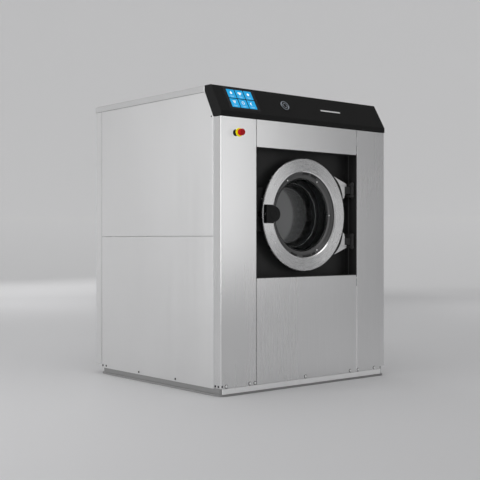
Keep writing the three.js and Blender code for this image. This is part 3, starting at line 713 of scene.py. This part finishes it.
# outlines of the screen's icons about their centres, in the order of the tiles
ICONS = [
    # drop
    [arc(0, -2, 8, 20, radians(-210), radians(30)) + [(0, 13)]],
    # garment
    [[(-7, -10), (7, -10), (7, 2), (12, -1), (15, 5), (6, 11), (3, 8), (-3, 8), (-6, 11),
      (-15, 5), (-12, -1), (-7, 2)]],
    # disc
    [arc(0, 0, 9, 28, 0, 2 * pi)[:-1]],
    # three bars, narrowing downwards
    [[(-12 + 3 * j, 6 - 7 * j), (12 - 3 * j, 6 - 7 * j), (12 - 3 * j, 10 - 7 * j),
      (-12 + 3 * j, 10 - 7 * j)] for j in range(3)],
    # ring, as two halves
    [sector(0, 0, 11, 7.5, 16, a + 0.08, a + pi - 0.08) for a in (0, pi)],
    # crescent
    [arc(-2, 0, 10, 20, radians(60), radians(300))
     + arc(4, 0, 8.6, 16, radians(80), radians(280))[::-1]],
]


def screen():
    """Black glass with three by two lit tiles, each with an icon over two caption bars."""
    prism("screen_panel", rounded_rect(-621, -385, 18, 176, 4.5), -9, 0.6, on_console,
          "screen_glass", "cabinet", bevel=0.5, replaces="touch_screen", slot="screen")
    left, right, bottom, top, gap = -599.0, -409.0, 32.0, 161.0, 6.5
    width, height = (right - left - 2 * gap) / 3, (top - bottom - gap) / 2
    tiles, icons, captions = bmesh.new(), bmesh.new(), bmesh.new()
    for index, outlines in enumerate(ICONS):
        row, column = divmod(index, 3)
        u = left + column * (width + gap)
        v = bottom + (1 - row) * (height + gap)
        middle = u + width / 2
        add_prism(tiles, rounded_rect(u, u + width, v, v + height, 2.0, 3), 0.61, 0.85,
                  on_console)
        for outline in outlines:
            add_prism(icons, [(middle + x, v + height * 0.60 + y) for x, y in outline],
                      0.86, 1.05, on_console)
        for line, share in enumerate((0.56, 0.36)):
            half = width * share / 2
            foot = v + height * (0.20 - 0.09 * line)
            add_prism(captions, rounded_rect(middle - half, middle + half, foot, foot + 2.4,
                                             1.0, 2), 0.86, 0.98, on_console)
    finish("screen_tiles", tiles, "tile_blue", "cabinet", slot="screen")
    finish("screen_icons", icons, "icon_white", "cabinet", slot="screen")
    finish("screen_caption_bars", captions, "caption_white", "cabinet", slot="screen")


def badge():
    """Round badge: dark face, two plain rings and a short bar each side of the inner ring."""
    u, v = -162, 89
    place = axis_along(Vector(on_console(u, v, 0)) / MM, (0, -SLOPE_Z, SLOPE_Y))
    lathe("badge_face", [(0, 0.35), (26.6, 0.35), (26.6, 1.6), (0, 1.6)], 64, place,
          "screen_glass", "cabinet", radii=[0, .2, .4, 0], slot="badge")
    mesh = bmesh.new()
    add_lathe(mesh, [(26.8, 0.35), (32, 0.35), (31.6, 2.2), (30, 3.2), (28, 3.0), (26.8, 1.6)],
              72, place, [0, .4, .8, .8, .6, .2])
    add_lathe(mesh, [(14, 1.62), (17.5, 1.62), (17.5, 2.6), (14, 2.6)], 48, place, .4, 2)
    for start in (-23, 9):
        add_prism(mesh, rounded_rect(u + start, u + start + 14, v - 2, v + 2, 1.6, 4),
                  1.62, 2.4, on_console)
    finish("badge_rings", mesh, "badge_steel", "cabinet", replaces="console_badge",
           slot="badge", bevel=0.2)


console_shell()
screen()
badge()
prism("name_strip_blank", rounded_rect(142, 318, 80, 90, 3.0, 4), 0.05, 1.2, on_console,
      "pale_print", "cabinet", bevel=0.4, slot="badge")


# ------------------------------------------------------------------ emergency stop
def emergency_stop():
    place = axis_y(STOP_X, STOP_Z)
    collar = lathe(
        "estop_collar", [(8.5, -704.8), (19.4, -704.8), (19.4, -694), (18.2, -692),
                         (18.2, -680), (19.5, -678), (19.5, -673.3), (8.5, -673.3)],
        56, place, "black_plastic", "cabinet", radii=[0.3, 1.2, 1, .6, .6, 1, 0.6, 0.3],
        replaces="estop_base", slot="black_plastic")
    mesh = bmesh.new()
    add_prism(mesh, rounded_rect(STOP_X - 18, STOP_X + 18, STOP_Z - 18, STOP_Z + 18, 3),
              -670.5, -620, on_xz)
    for dx in (-9, 9):
        add_lathe(mesh, [(0, -620.2), (3.2, -620.2), (3.2, -616), (0, -616)], 14,
                  axis_y(STOP_X + dx, STOP_Z), [0, .6, .6, 0])
    finish("estop_contact_block", mesh, "black_plastic", "cabinet", bevel=1.2,
           slot="black_plastic")
    ring = lathe(
        "estop_ring", [(13.2, -708.8), (24.6, -708.8), (25.4, -707.8), (25.4, -705.3),
                       (13.2, -705.3)],
        64, place, "yellow_plastic", "cabinet", radii=[.4, .8, .8, .5, .2],
        replaces="estop_guard_ring", slot="yellow_plastic")

    def fluted(r, along, t):
        """Grip flutes round the edge of the head."""
        if 18.5 < r < 25 and -737 < along < -716:
            r = r - 0.45 * (0.5 + 0.5 * cos(24 * t))
        return place(r, along, t)

    head = lathe(
        "estop_head", [(0, -741.9), (10, -741.6), (16.5, -740.3), (19.2, -737.8), (20, -733),
                       (20, -719), (18.8, -715.6), (15.5, -714.4), (7, -714.4), (7, -668),
                       (0, -668)],
        72, fluted, "red_plastic", "stop_button", radii=[0, 4, 4, 3, 3, 2, 1.5, 1, .5, .5, 0],
        replaces="estop_button", slot="red_plastic", smooth=50)
    for piece in (collar, ring, head):      # no mirror image of the stop in the brushed column
        piece.visible_glossy = False


emergency_stop()


# ------------------------------------------------------------------ fasteners
def add_hex_bolt(mesh, position, normal, radius, height, turn=0.0):
    place = axis_along(position, normal)
    flange = radius * 1.28
    add_lathe(mesh, [(0, 0.0), (flange, 0.0), (flange, 1.1), (0, 1.1)], 20, place,
              [0, .3, .3, 0], 2)
    add_lathe(mesh, [(0, 1.12), (radius, 1.12), (radius, height - 0.8),
                     (radius * 0.86, height), (0, height)],
              6, lambda r, along, t: place(r, along, t + turn))


def add_cap_screw(mesh, position, normal, r, h):
    """Round head with a socket."""
    add_lathe(mesh, [(0, 0.0), (r, 0.0), (r * 0.95, h * 0.6), (r * 0.62, h), (r * 0.46, h),
                     (r * 0.42, h * 0.35), (0, h * 0.35)],
              18, axis_along(position, normal), [0, 0, r * .2, r * .15, .2, .2, 0])


def front_bolts():
    places = [axis_along((x, SHEET_Y + SINK, 58), TO_FRONT)
              for x in (-659, -480, -441, -29, 370, 443, 597)]
    mesh = bmesh.new()
    for place in places:
        add_lathe(mesh, [(0, 1.4), (8.2, 1.4), (8.2, 2.6), (6.4, 5.6), (3.2, 7.0), (3.0, 5.0),
                         (0, 5.0)], 24, place, [0, .2, .6, 1.6, .2, .3, 0])
    finish("front_bolts", mesh, "kick_steel", "cabinet", slot="zinc", smooth=40)
    # painted shadow: a black disc under each bolt head stands for the shadow round it
    mesh = bmesh.new()
    for place in places:
        add_lathe(mesh, [(0, 0.0), (11.0, 0.0), (11.0, 1.2), (0, 1.2)], 24, place,
                  [0, .3, .3, 0], 2)
    finish("front_bolt_washers", mesh, "spring_black", "cabinet", slot="zinc", smooth=25)


def side_bolts():
    mesh = bmesh.new()
    for side in (-1, 1):
        x, normal = side * (SHEET_X - SINK), (side, 0, 0)
        for i, y in enumerate((591, 550, 162, -232)):
            add_hex_bolt(mesh, (x, y, 56), normal, radius=5.6, height=2.0, turn=0.7 * i)
        for y in (-621, -649):
            add_hex_bolt(mesh, (x, y, 70 if side > 0 else 57), normal, radius=5.6, height=2.0)
        add_cap_screw(mesh, (x, -585, 1613), normal, 5.0, 2.0)
    add_hex_bolt(mesh, (-689, SHEET_Y + SINK, 59), TO_FRONT, radius=4.6, height=4.5)
    finish("side_bolts", mesh, "spring_black", "cabinet", slot="zinc", smooth=25)


def rear_screws():
    places = [(x, 677.2, z) for x in (-300, -100, 100, 300) for z in (700, 1500)]
    places += [(x, 677.2, z) for z in (900, 1100, 1300) for x in (-301, 301)]
    places += [(x, 674.9, z) for x in (-680, -340, 0, 340, 680) for z in (1740, 84)]
    mesh = bmesh.new()
    for position in places:
        add_cap_screw(mesh, position, TO_REAR, 5.5, 2.4)
    finish("rear_screws", mesh, "zinc", "cabinet", slot="zinc", smooth=25)


def rear_louvre_hoods():
    """Nine pressed hoods over the ventilation slots, with closed ends."""
    base_y = 677.35
    mesh = bmesh.new()
    for k in range(9):
        z = 1052 + 42 * k
        outside = [(base_y, z + 4), (682.5, z + 1.5), (686, z - 4), (687.2, z - 12)]
        inside = [(686.0, z - 12), (684.8, z - 4.5), (681.8, z + 0.2), (base_y, z + 2.4)]
        add_prism(mesh, fillet(outside + inside, [0, 4, 5, .2, .2, 4, 3, 0], 3),
                  -221, 221, on_yz)
        for start, end in ((-223.2, -221.05), (221.05, 223.2)):
            add_prism(mesh, fillet(outside + [(base_y, z - 12)], [0, 4, 5, 1, 0], 3),
                      start, end, on_yz)
    finish("rear_louvre_hoods", mesh, "rear_steel", "cabinet", slot="casing_sheet", smooth=40)


def ring_screws():
    mesh = bmesh.new()
    for x, z in ((-249, 1229), (-249, 881), (-276, 927), (269, 1233), (301, 1181),
                 (269, 877), (301, 929)):
        add_lathe(mesh, [(0, 0.0), (7.4, 0.0), (7.0, 1.4), (4.6, 2.9), (2.2, 3.2), (1.6, 2.4),
                         (0, 2.4)],
                  24, axis_along((x, -639.9, z), TO_FRONT), [0, .3, .8, .8, .3, .2, 0])
    finish("ring_screws", mesh, "screw_steel", "door", slot="door_ring", smooth=25)


def tub_front_screws():
    mesh = bmesh.new()
    for x, z in ((-392, 978), (-332, 1146), (-392, 1190)):
        add_cap_screw(mesh, (x, -611.9, z), TO_FRONT, 4.6, 2.0)
    finish("lock_screws", mesh, "zinc", "suspended_tub", slot="zinc", smooth=25)
    mesh = bmesh.new()
    for side in (-1, 1):
        for dz in (-58, 58):
            for x in (395, 414):
                z = DRUM_Z + side * HINGE_RISE + dz
                add_cap_screw(mesh, (x, -573.9, z), TO_FRONT, 5.0, 3.0)
    for k in range(16):
        a = 2 * pi * (k + 0.5) / 16
        add_cap_screw(mesh, (287 * cos(a), -565.9, DRUM_Z + 287 * sin(a)), TO_FRONT, 4.5, 2.4)
    finish("plate_screws", mesh, "spring_black", "suspended_tub", slot="zinc", smooth=25)


front_bolts()
side_bolts()
rear_screws()
rear_louvre_hoods()
ring_screws()
tub_front_screws()


# ------------------------------------------------------------------ door
def door_ring():
    """Brushed ring, its polished bore edge and the dished collar that carries the glass."""
    lathe("door_ring_face", [(265.2, -634.6), (271.0, -640), (346, -640), (350, -636.5),
                             (350, -626.2), (265.2, -626.2)],
          192, AROUND_DRUM, "ring_steel", "door", radii=[.5, .5, 2.5, 2.5, .8, .5], steps=4,
          replaces="door_ring", slot="door_ring")
    lathe("door_ring_bore_edge", [(264.2, -627), (264.2, -634.8), (270.4, -640.7),
                                  (271.4, -640.2), (265.0, -634.2), (265.0, -627)],
          192, AROUND_DRUM, "edge_steel", "door", radii=[.1, .5, .4, .1, .1, .1], steps=2,
          slot="door_ring")
    lathe("door_bezel", [(228.5, -610.2), (231, -611.8), (244, -614.5), (256, -623.8),
                         (263.8, -625.2), (263.8, -608.2), (228.5, -608.2)],
          160, AROUND_DRUM, "bezel_grey", "door", radii=[.5, 1.5, 3, 4, 1, .3, .3], steps=4,
          replaces="door_inner_bezel", slot="door_bezel")


def door_bowl():
    """Thick pressed glass, closed at its inner end."""
    # (radius, y): the drum side from rim to centre, then the front side from centre to rim
    drum_side = [(262, -601), (229, -601), (221, -578), (211, -534), (205.5, -525),
                 (203, -518), (197, -494), (190, -470), (184, -460), (174, -456.3),
                 (120, -455.8), (0, -455.6)]
    front_side = [(0, -463.5), (118, -463.7), (171, -464.4), (179, -468), (184, -476),
                  (190.5, -499), (195, -520), (199, -529), (204, -540), (214, -582),
                  (221, -606), (224, -607.5), (262, -607.5)]
    profile = (fillet(drum_side, [.5, 3, 6, 4, 3, 3, 8, 5, 5, 5, 20, 0], closed=False)
               + fillet(front_side, [0, 20, 4, 4, 4, 8, 4, 3, 3, 8, 2, 1, .5], closed=False))
    lathe("door_bowl", profile, 128, AROUND_DRUM, "bowl_glass", "door",
          replaces="door_glass", slot="glass", smooth=60)


def bowl_fittings():
    """Retaining clips, screws, and a thin bright ring on the ridge of the bowl that paints its
    highlight.
    """
    mesh = bmesh.new()
    # start and end of each clip, in degrees
    for start, end in ((80, 91), (64.5, 75), (-91, -76), (-72.5, -67), (-114, -103),
                       (148, 160)):
        add_prism(mesh, sector(0, DRUM_Z, 251, 262.6, 6, radians(start), radians(end)),
                  -627.0, -617.5, on_xz)
    finish("bowl_clips", mesh, "black_paint", "door", bevel=0.6, slot="black_metal")
    mesh = bmesh.new()
    # angle in degrees, radius from the drum axis
    for angle, r in ((59.5, 243), (-61.5, 250), (0, 236), (122, 246)):
        t = radians(angle)
        centre = (r * cos(t), -613.5 - 0.55 * (r - 236), DRUM_Z + r * sin(t))
        add_lathe(mesh, [(0, 0.0), (6.4, 0.0), (6.0, 2.6), (3.6, 4.6), (0, 4.8)], 22,
                  axis_along(centre, TO_FRONT), [0, .3, 1.2, 1.2, 0])
    finish("bowl_screws", mesh, "screw_steel", "door", slot="zinc")
    # painted highlight: thin bright steel ring standing for the highlight along the bowl's
    # ridge
    lathe("bowl_ridge", arc(200.4, -527.0, 1.7, 10, 0, 2 * pi)[:-1], 160, AROUND_DRUM,
          "edge_steel", "door", slot="glass", smooth=80)


def hinge(name, side):
    """Two-part cast arm, a black strip against the ring painting the shadow in the gap, link
    and knuckle; side 1 is up.
    """
    def about_axis(points):
        return [(x, DRUM_Z + side * z) for x, z in points]

    mesh = bmesh.new()
    add_prism(mesh, about_axis(fillet([(205, 232), (272, 249), (385, 206), (384.2, 202.6),
                                       (235, 179.6)], [4, 6, 3, .4, 1], 3)),
              -626.4, -613.2, on_xz)
    add_prism(mesh, about_axis(fillet([(237, 175.4), (383.4, 198.4), (362, 117), (302, 78)],
                                      [1, .4, 5, 5], 3)), -629.0, -613.2, on_xz)
    add_prism(mesh, about_axis([(233, 181), (384, 204), (383.2, 197), (236, 174)]),
              -621.5, -613.3, on_xz)
    finish(f"hinge_arm_{name}_casting", mesh, "cast_arm", "door", smooth=30, bevel=1.3,
           bevel_angle=50, replaces=f"hinge_arm_{name}", slot="cast_arm")

    # painted shadow: a black crescent between the ring's edge and the arm stands for the shadow
    # in the gap
    ring_radius, start, end, steps = 350.4, 17.4, 43.2, 14      # angles in degrees
    stations = [(k, radians(start + (end - start) * k / steps)) for k in range(steps + 1)]
    polar = [(ring_radius, t) for k, t in stations]
    polar += [(ring_radius + 14 + 8.5 * sin(pi * k / steps), t) for k, t in stations[::-1]]
    prism(f"arm_gap_seal_{name}", about_axis([(r * cos(t), r * sin(t)) for r, t in polar]),
          -629.6, -625.3, on_xz, "rubber", "door", slot="rubber")

    z = DRUM_Z + side * HINGE_RISE
    outline = [(358, -624.5), (358, -613.5), (386, -613.5), (409, -646.5), (396, -648.5)]
    prism(f"hinge_link_{name}", fillet(outline, 1.5, 3), z - 24, z + 24, on_xy,
          "black_paint", "door", bevel=1.0, slot="black_metal")
    lathe(f"hinge_knuckle_{name}",
          [(5.8, z - 28.5), (12, z - 28.5), (12, z + 28.5), (5.8, z + 28.5)], 36,
          axis_z(405, -655), "black_paint", "door", radii=[0, 1.5, 1.5, 0],
          slot="black_metal")


def pan_edge_rail():
    """Thin rail down both sides and along the bottom."""
    mesh = bmesh.new()
    for side in (-1, 1):
        x0, x1 = sorted((side * 428.4, side * 430.9))
        add_prism(mesh, rounded_rect(x0, x1, -605, -598, 0.8, 2), 664, 1456, on_xy)
    add_prism(mesh, rounded_rect(-428, 428, -605, -598, 0.8, 2), 654.1, 656.4, on_xy)
    finish("pan_edge_rail", mesh, "bezel_grey", "suspended_tub", bevel=0.5,
           slot="black_metal")


door_ring()
door_bowl()
bowl_fittings()
hinge("upper", 1)
hinge("lower", -1)
pan_edge_rail()
# shallow round recess with a raised rim, on the grip
lathe("handle_boss", [(0, -663.2), (27, -663.2), (27, -665.1), (24.5, -665.6),
                      (22.5, -664.6), (0, -664.4)],
      48, axis_y(-284, DRUM_Z), "black_plastic", "handle", radii=[0, .3, .6, .6, .6, 0],
      slot="black_plastic")


# ------------------------------------------------------------------ gasket, tub and drum
def gasket():
    lathe("gasket_lip", [(250, -566.4), (270, -566.4), (271, -574), (264, -579), (266, -588),
                         (260, -597.5), (254, -599.4), (247, -599.4), (244, -594),
                         (246, -588), (250, -584), (246, -576)],
          128, AROUND_DRUM, "rubber", "suspended_tub",
          radii=[1, 1, 2, 2, 3, 3, 2, 2, 3, 3, 3, 3], steps=4, replaces="door_gasket",
          slot="rubber", smooth=60)


def tub():
    """Shell with two grooves round its wall, and its bottom and top spigots."""
    profile = [
        (262.5, -502), (566, -502), (574, -494), (574, -150), (571, -146), (574, -142),
        (574, 60), (571, 64), (574, 68), (574, 254), (566, 262), (100, 262), (100, 256),
        (560, 256), (569, 248), (569, -488), (560, -498), (262.5, -498)]
    lathe("tub_shell", profile, 128, AROUND_DRUM, "tub_steel", "suspended_tub",
          radii=[.5, 3, 3, 1, 1, 1, 1, 1, 1, 3, 3, 1, 1, 3, 3, 3, 3, .5],
          replaces="tub", slot="tub_steel")
    mesh = bmesh.new()
    add_lathe(mesh, [(39, 455.5), (45, 455.5), (45, 480), (49, 486), (39, 486)], 40,
              axis_z(0, 0), [.5, .5, 3, .3, .3])
    add_lathe(mesh, [(19, 1571), (28, 1571), (25, 1576), (25, 1600), (19, 1600)], 32,
              axis_z(-250, 200), [.3, .3, 2, 1, .5])
    finish("tub_spigots", mesh, "tub_steel", "suspended_tub", slot="tub_steel")


LIFTERS = (90, 210, 330)        # degrees round the drum axis


def drum():
    """Wall pierced except along the lifters, with a front rim and a stepped back."""
    around, along = 66, 12      # cells of the wall, one hole in each
    front, back, wall, hole_radius = -438.0, 217.0, 527.5, 9.0
    lifter_half = 9.5           # degrees left plain each side of a lifter
    mesh = bmesh.new()

    def vertex(r, y, t):
        return mesh.verts.new(AROUND_DRUM(r, y, t))

    grid = [[vertex(wall, front + (back - front) * j / along, 2 * pi * i / around)
             for j in range(along + 1)] for i in range(around)]
    for i in range(around):
        t = 2 * pi * (i + 0.5) / around
        angle = degrees(t) % 360
        plain = any(abs((angle - lifter + 180) % 360 - 180) < lifter_half
                    for lifter in LIFTERS)
        following = grid[(i + 1) % around]
        for j in range(along):
            cell = [grid[i][j], following[j], following[j + 1], grid[i][j + 1]]
            if plain:
                mesh.faces.new(cell)
                continue
            y = front + (back - front) * (j + 0.5) / along
            hole = [vertex(wall, y + hole_radius * sin(a), t + hole_radius * cos(a) / wall)
                    for a in [radians(225 + 45 * k) for k in range(8)]]
            for k in range(4):      # a quad and a triangle along each side of the cell
                h0, h1, h2 = hole[2 * k], hole[2 * k + 1], hole[(2 * k + 2) % 8]
                here, there = cell[k], cell[(k + 1) % 4]
                mesh.faces.new([here, there, h1, h0])
                mesh.faces.new([there, h2, h1])
    # (radius, y) from the wall inwards
    front_rim = [(524, -446), (512, -449.2), (262, -449.2), (252, -446.5), (250, -440)]
    back_plate = [(524, 224), (512, 228.6), (430, 228.6), (420, 224), (260, 224),
                  (250, 228.6), (0, 228.6)]
    for j, profile in ((0, front_rim), (along, back_plate)):
        ring = [column[j] for column in grid]
        for r, y in profile:
            inner = [vertex(r, y, 2 * pi * i / around) for i in range(around if r else 1)]
            bridge(mesh, ring, inner)
            ring = inner
    bmesh.ops.recalc_face_normals(mesh, faces=mesh.faces)
    shell = finish("drum_shell", mesh, "tub_steel", "drum_assembly", replaces="drum",
                   slot="tub_steel", smooth=30)
    solidify = shell.modifiers.new("wall", "SOLIDIFY")
    solidify.thickness = 0.0016
    solidify.offset = -1.0


def drum_lifters():
    # (distance from the axis, distance across)
    outline = fillet([(524, -62), (524.5, 62), (488, 34), (455, 18), (447, 0), (455, -18),
                      (488, -34)], [0, 0, 25, 15, 12, 15, 25])
    mesh = bmesh.new()
    for angle in LIFTERS:
        c, s = cos(radians(angle)), sin(radians(angle))
        turned_outline = [(u * c - v * s, DRUM_Z + u * s + v * c) for u, v in outline]
        add_prism(mesh, turned_outline, -436, 214, on_xz)
    finish("drum_lifters", mesh, "tub_steel", "drum_assembly", slot="tub_steel", bevel=3.0,
           segments=3, bevel_angle=50)


gasket()
tub()
drum()
drum_lifters()


# ------------------------------------------------------------------ suspension, hoses, belt
def coil_spring(name, x, y):
    turns, steps_per_turn, bottom, top, coil_radius = 5.6, 26, 138.6, 391.4, 41
    flat_turns, flat_rise = 0.75, 15.5      # close-wound ends
    points = []
    for i in range(int(turns * steps_per_turn) + 1):
        t = i / steps_per_turn
        if t < flat_turns:
            z = bottom + flat_rise * t / flat_turns
        elif t > turns - flat_turns:
            z = top - flat_rise * (turns - t) / flat_turns
        else:
            z = bottom + flat_rise + ((top - bottom - 2 * flat_rise) * (t - flat_turns)
                                      / (turns - 2 * flat_turns))
        points.append((x + coil_radius * cos(2 * pi * t), y + coil_radius * sin(2 * pi * t), z))
    mesh = bmesh.new()
    add_bar(mesh, points, 7.6, 12)
    spring = finish(f"coil_spring_{name}", mesh, "spring_black", None,
                    replaces=f"suspension_spring_{name}", slot="spring_steel", smooth=60)
    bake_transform(spring)


def drain_bellows():
    bottom, top, folds, wall = 228, 334, 6, 3.2
    pitch = (top - bottom) / folds
    outer = [(40, 217.2), (47, 217.2), (47.5, 226)]
    for k in range(folds):
        z = bottom + (top - bottom) * k / folds
        outer += [(46, z + 1), (50.5, z + pitch * 0.25), (53.5, z + pitch * 0.5),
                  (50.5, z + pitch * 0.75)]
    outer += [(46, 335), (47.5, 337), (47, 345.3), (40, 345.3)]
    inner = [(r - wall, z) for r, z in reversed(outer[2:-2])]
    bellows = lathe("drain_bellows", outer + inner, 48, axis_z(0, 0), "rubber", None,
                    replaces="drain_hose", slot="rubber", smooth=70)
    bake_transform(bellows)
    for name, body, z in (("lower", "cabinet", 222), ("upper", "suspended_tub", 341.5)):
        mesh = bmesh.new()
        add_lathe(mesh, [(47.2, z - 4), (48.6, z - 4), (48.6, z + 4), (47.2, z + 4)], 40,
                  axis_z(0, 0), .4, 2)
        add_prism(mesh, rounded_rect(-7, 7, -58, -48, 1.5, 2), z - 3.5, z + 3.5, on_xy)
        finish(f"bellows_clamp_{name}", mesh, "zinc", body, slot="zinc")


def fill_hose():
    """Ribbed hose with plain ends."""
    path = catmull([(-460, 595, 1590), (-460, 570, 1590), (-440, 480, 1612),
                    (-350, 320, 1665), (-275, 220, 1668), (-250, 200, 1640),
                    (-250, 200, 1605), (-250, 200, 1575)], 9)
    radii = [14.2 + (0.8 if i % 4 < 2 and 6 < i < len(path) - 16 else 0.0)
             for i in range(len(path))]
    mesh = bmesh.new()
    add_bar(mesh, path, radii, 20)
    hose = finish("fill_hose_rubber", mesh, "rubber", None, replaces="fill_hose",
                  slot="rubber", smooth=60)
    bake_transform(hose)


def drive_belt():
    """Band round both pulleys, with six grooves inside."""
    drum_centre, drum_radius = Vector((0, DRUM_Z)), 280
    motor_centre, motor_radius = Vector((330, 420)), 60
    between = motor_centre - drum_centre
    base = atan2(between.y, between.x)
    contact = acos((drum_radius - motor_radius) / between.length)
    # centre, pulley radius and angle of each section
    stations = [(drum_centre, drum_radius, base + contact + (2 * pi - 2 * contact) * k / 72)
                for k in range(73)]
    stations += [(motor_centre, motor_radius, base - contact + 2 * contact * k / 28)
                 for k in range(29)]
    front, pitch = 438, 5.8
    section = [(0.9, front)]    # (height above the pulley, y)
    for k in range(6):
        y = front + k * pitch
        section += [(0.9, y + 0.4), (3.2, y + 1.6), (3.2, y + 3.9), (0.9, y + 5.2)]
    section += [(0.9, 472.6), (7.6, 472.6), (7.8, front)]
    mesh = bmesh.new()
    rings = []
    for centre, radius, a in stations:
        place = axis_y(centre.x, centre.y)
        rings.append([mesh.verts.new(place(radius + height, y, a)) for height, y in section])
    for i, ring in enumerate(rings):
        bridge(mesh, ring, rings[(i + 1) % len(rings)])
    finish("poly_v_belt", mesh, "rubber", "suspended_tub", replaces="drive_belt",
           slot="rubber", smooth=30)


def waste_pipe():
    """Open pipe that drops from the drain, bends and runs out at the rear."""
    bend, bend_z = 32, 192.5
    path = [(0, 0, 216), (0, 0, 205), (0, 0, 192)]
    path += [(0, bend - bend * cos(t), bend_z - bend * sin(t))
             for t in [radians(90 * k / 8) for k in range(1, 9)]]
    path += [(0, y, bend_z - bend)
             for y in (60, 200, 400, 600, 660, 668, 672, 676, 684, 690, 694, 700)]
    mesh = bmesh.new()
    outer = add_bar(mesh, path, 40.0, 40, caps=False)
    inner = add_bar(mesh, path, 36.0, 40, caps=False)
    for end in (0, -1):
        bridge(mesh, outer[end], inner[end])
    finish("waste_pipe", mesh, "black_plastic", "cabinet", replaces="drain_outlet_pipe",
           slot="black_plastic")


coil_spring("front_left", -520, -420)
coil_spring("front_right", 520, -420)
coil_spring("rear_left", -520, 330)
coil_spring("rear_right", 520, 330)
drain_bellows()
fill_hose()
drive_belt()
waste_pipe()


# ------------------------------------------------------------------ studio (in metres)
def studio_sweep():
    """Round floor that curves up into a wall."""
    studio_paper()
    flat, bend, floor, segments = 7, 7, -0.0006, 96
    profile = [(r, floor) for r in (2, 4, 6, flat)]
    profile += [(flat + bend * sin(t), bend - bend * cos(t) + floor)
                for t in [radians(90 * k / 24) for k in range(1, 25)]]
    profile += [(14, 8)]
    mesh = bmesh.new()
    centre = mesh.verts.new((0, 0, floor))
    previous = None
    for r, z in profile:
        angles = [2 * pi * k / segments for k in range(segments)]
        ring = [mesh.verts.new((r * cos(a), r * sin(a), z)) for a in angles]
        for k in range(segments):
            after = (k + 1) % segments
            if previous:
                mesh.faces.new([previous[k], ring[k], ring[after], previous[after]])
            else:
                mesh.faces.new([centre, ring[k], ring[after]])
        previous = ring
    data = bpy.data.meshes.new("studio_sweep")
    mesh.normal_update()
    mesh.to_mesh(data)
    mesh.free()
    data.polygons.foreach_set("use_smooth", [True] * len(data.polygons))
    data.materials.append(MATERIALS["studio_paper"])
    obj = bpy.data.objects.new("studio_sweep", data)
    bpy.context.scene.collection.objects.link(obj)


def add_aimed(name, data, location, backwards):
    """Object whose -Z looks away from the given direction."""
    obj = bpy.data.objects.new(name, data)
    obj.location = location
    obj.rotation_mode = "QUATERNION"
    obj.rotation_quaternion = backwards.to_track_quat("Z", "Y")
    bpy.context.scene.collection.objects.link(obj)
    return obj


def area(name, location, target, width, height, power):
    light = bpy.data.lights.new(name, "AREA")
    light.shape = "RECTANGLE"
    light.size = width
    light.size_y = height
    light.energy = power
    add_aimed(name, light, location, Vector(location) - Vector(target))


# name, location, target, width, height, power in watts
LIGHTS = [
    ("top_box", (-0.3, -1.0, 6.0), (0, -0.6, 0.0), 5.4, 5.4, 90),
    ("side_card", (-4.6, 6.6, 1.9), (-0.7, 0.2, 0.9), 3.6, 3.6, 17),
    ("left_box", (-6.5, 0.5, 2.0), (-0.7, 0, 0.7), 3.0, 3.0, 134),
    ("front_right_card", (3.3, -7.0, 1.8), (-0.4, -0.7, 1.1), 3.1, 2.9, 26),
    ("camera_left_card", (-6.4, -5.7, 1.9), (-0.1, -0.6, 1.0), 1.7, 3.4, 17),
    ("right_box", (7.5, 2.0, 2.6), (0.7, 0, 0.9), 3.5, 3.5, 34),
    ("back_box", (2.0, 8.0, 3.0), (0, 0.6, 1.0), 4.0, 4.0, 78),
]


def lighting():
    world = bpy.data.worlds.new("studio")
    bpy.context.scene.world = world
    world.use_nodes = True
    background = world.node_tree.nodes["Background"]
    background.inputs["Color"].default_value = (1.0, 1.0, 1.0, 1)
    background.inputs["Strength"].default_value = 0.32
    for light in LIGHTS:
        area(*light)


def camera():
    """Level view from the front left."""
    data = bpy.data.cameras.new("camera")
    data.lens = 70.75
    data.sensor_width = 36.0
    data.clip_end = 100
    look = Vector((0.6436, 0.7654, 0.0)).normalized()
    scene = bpy.context.scene
    scene.camera = add_aimed("camera", data, (-4.0785, -4.8622, 0.8985), -look)
    scene.view_settings.view_transform = "Standard"
    scene.view_settings.look = "None"


studio_sweep()
lighting()
camera()
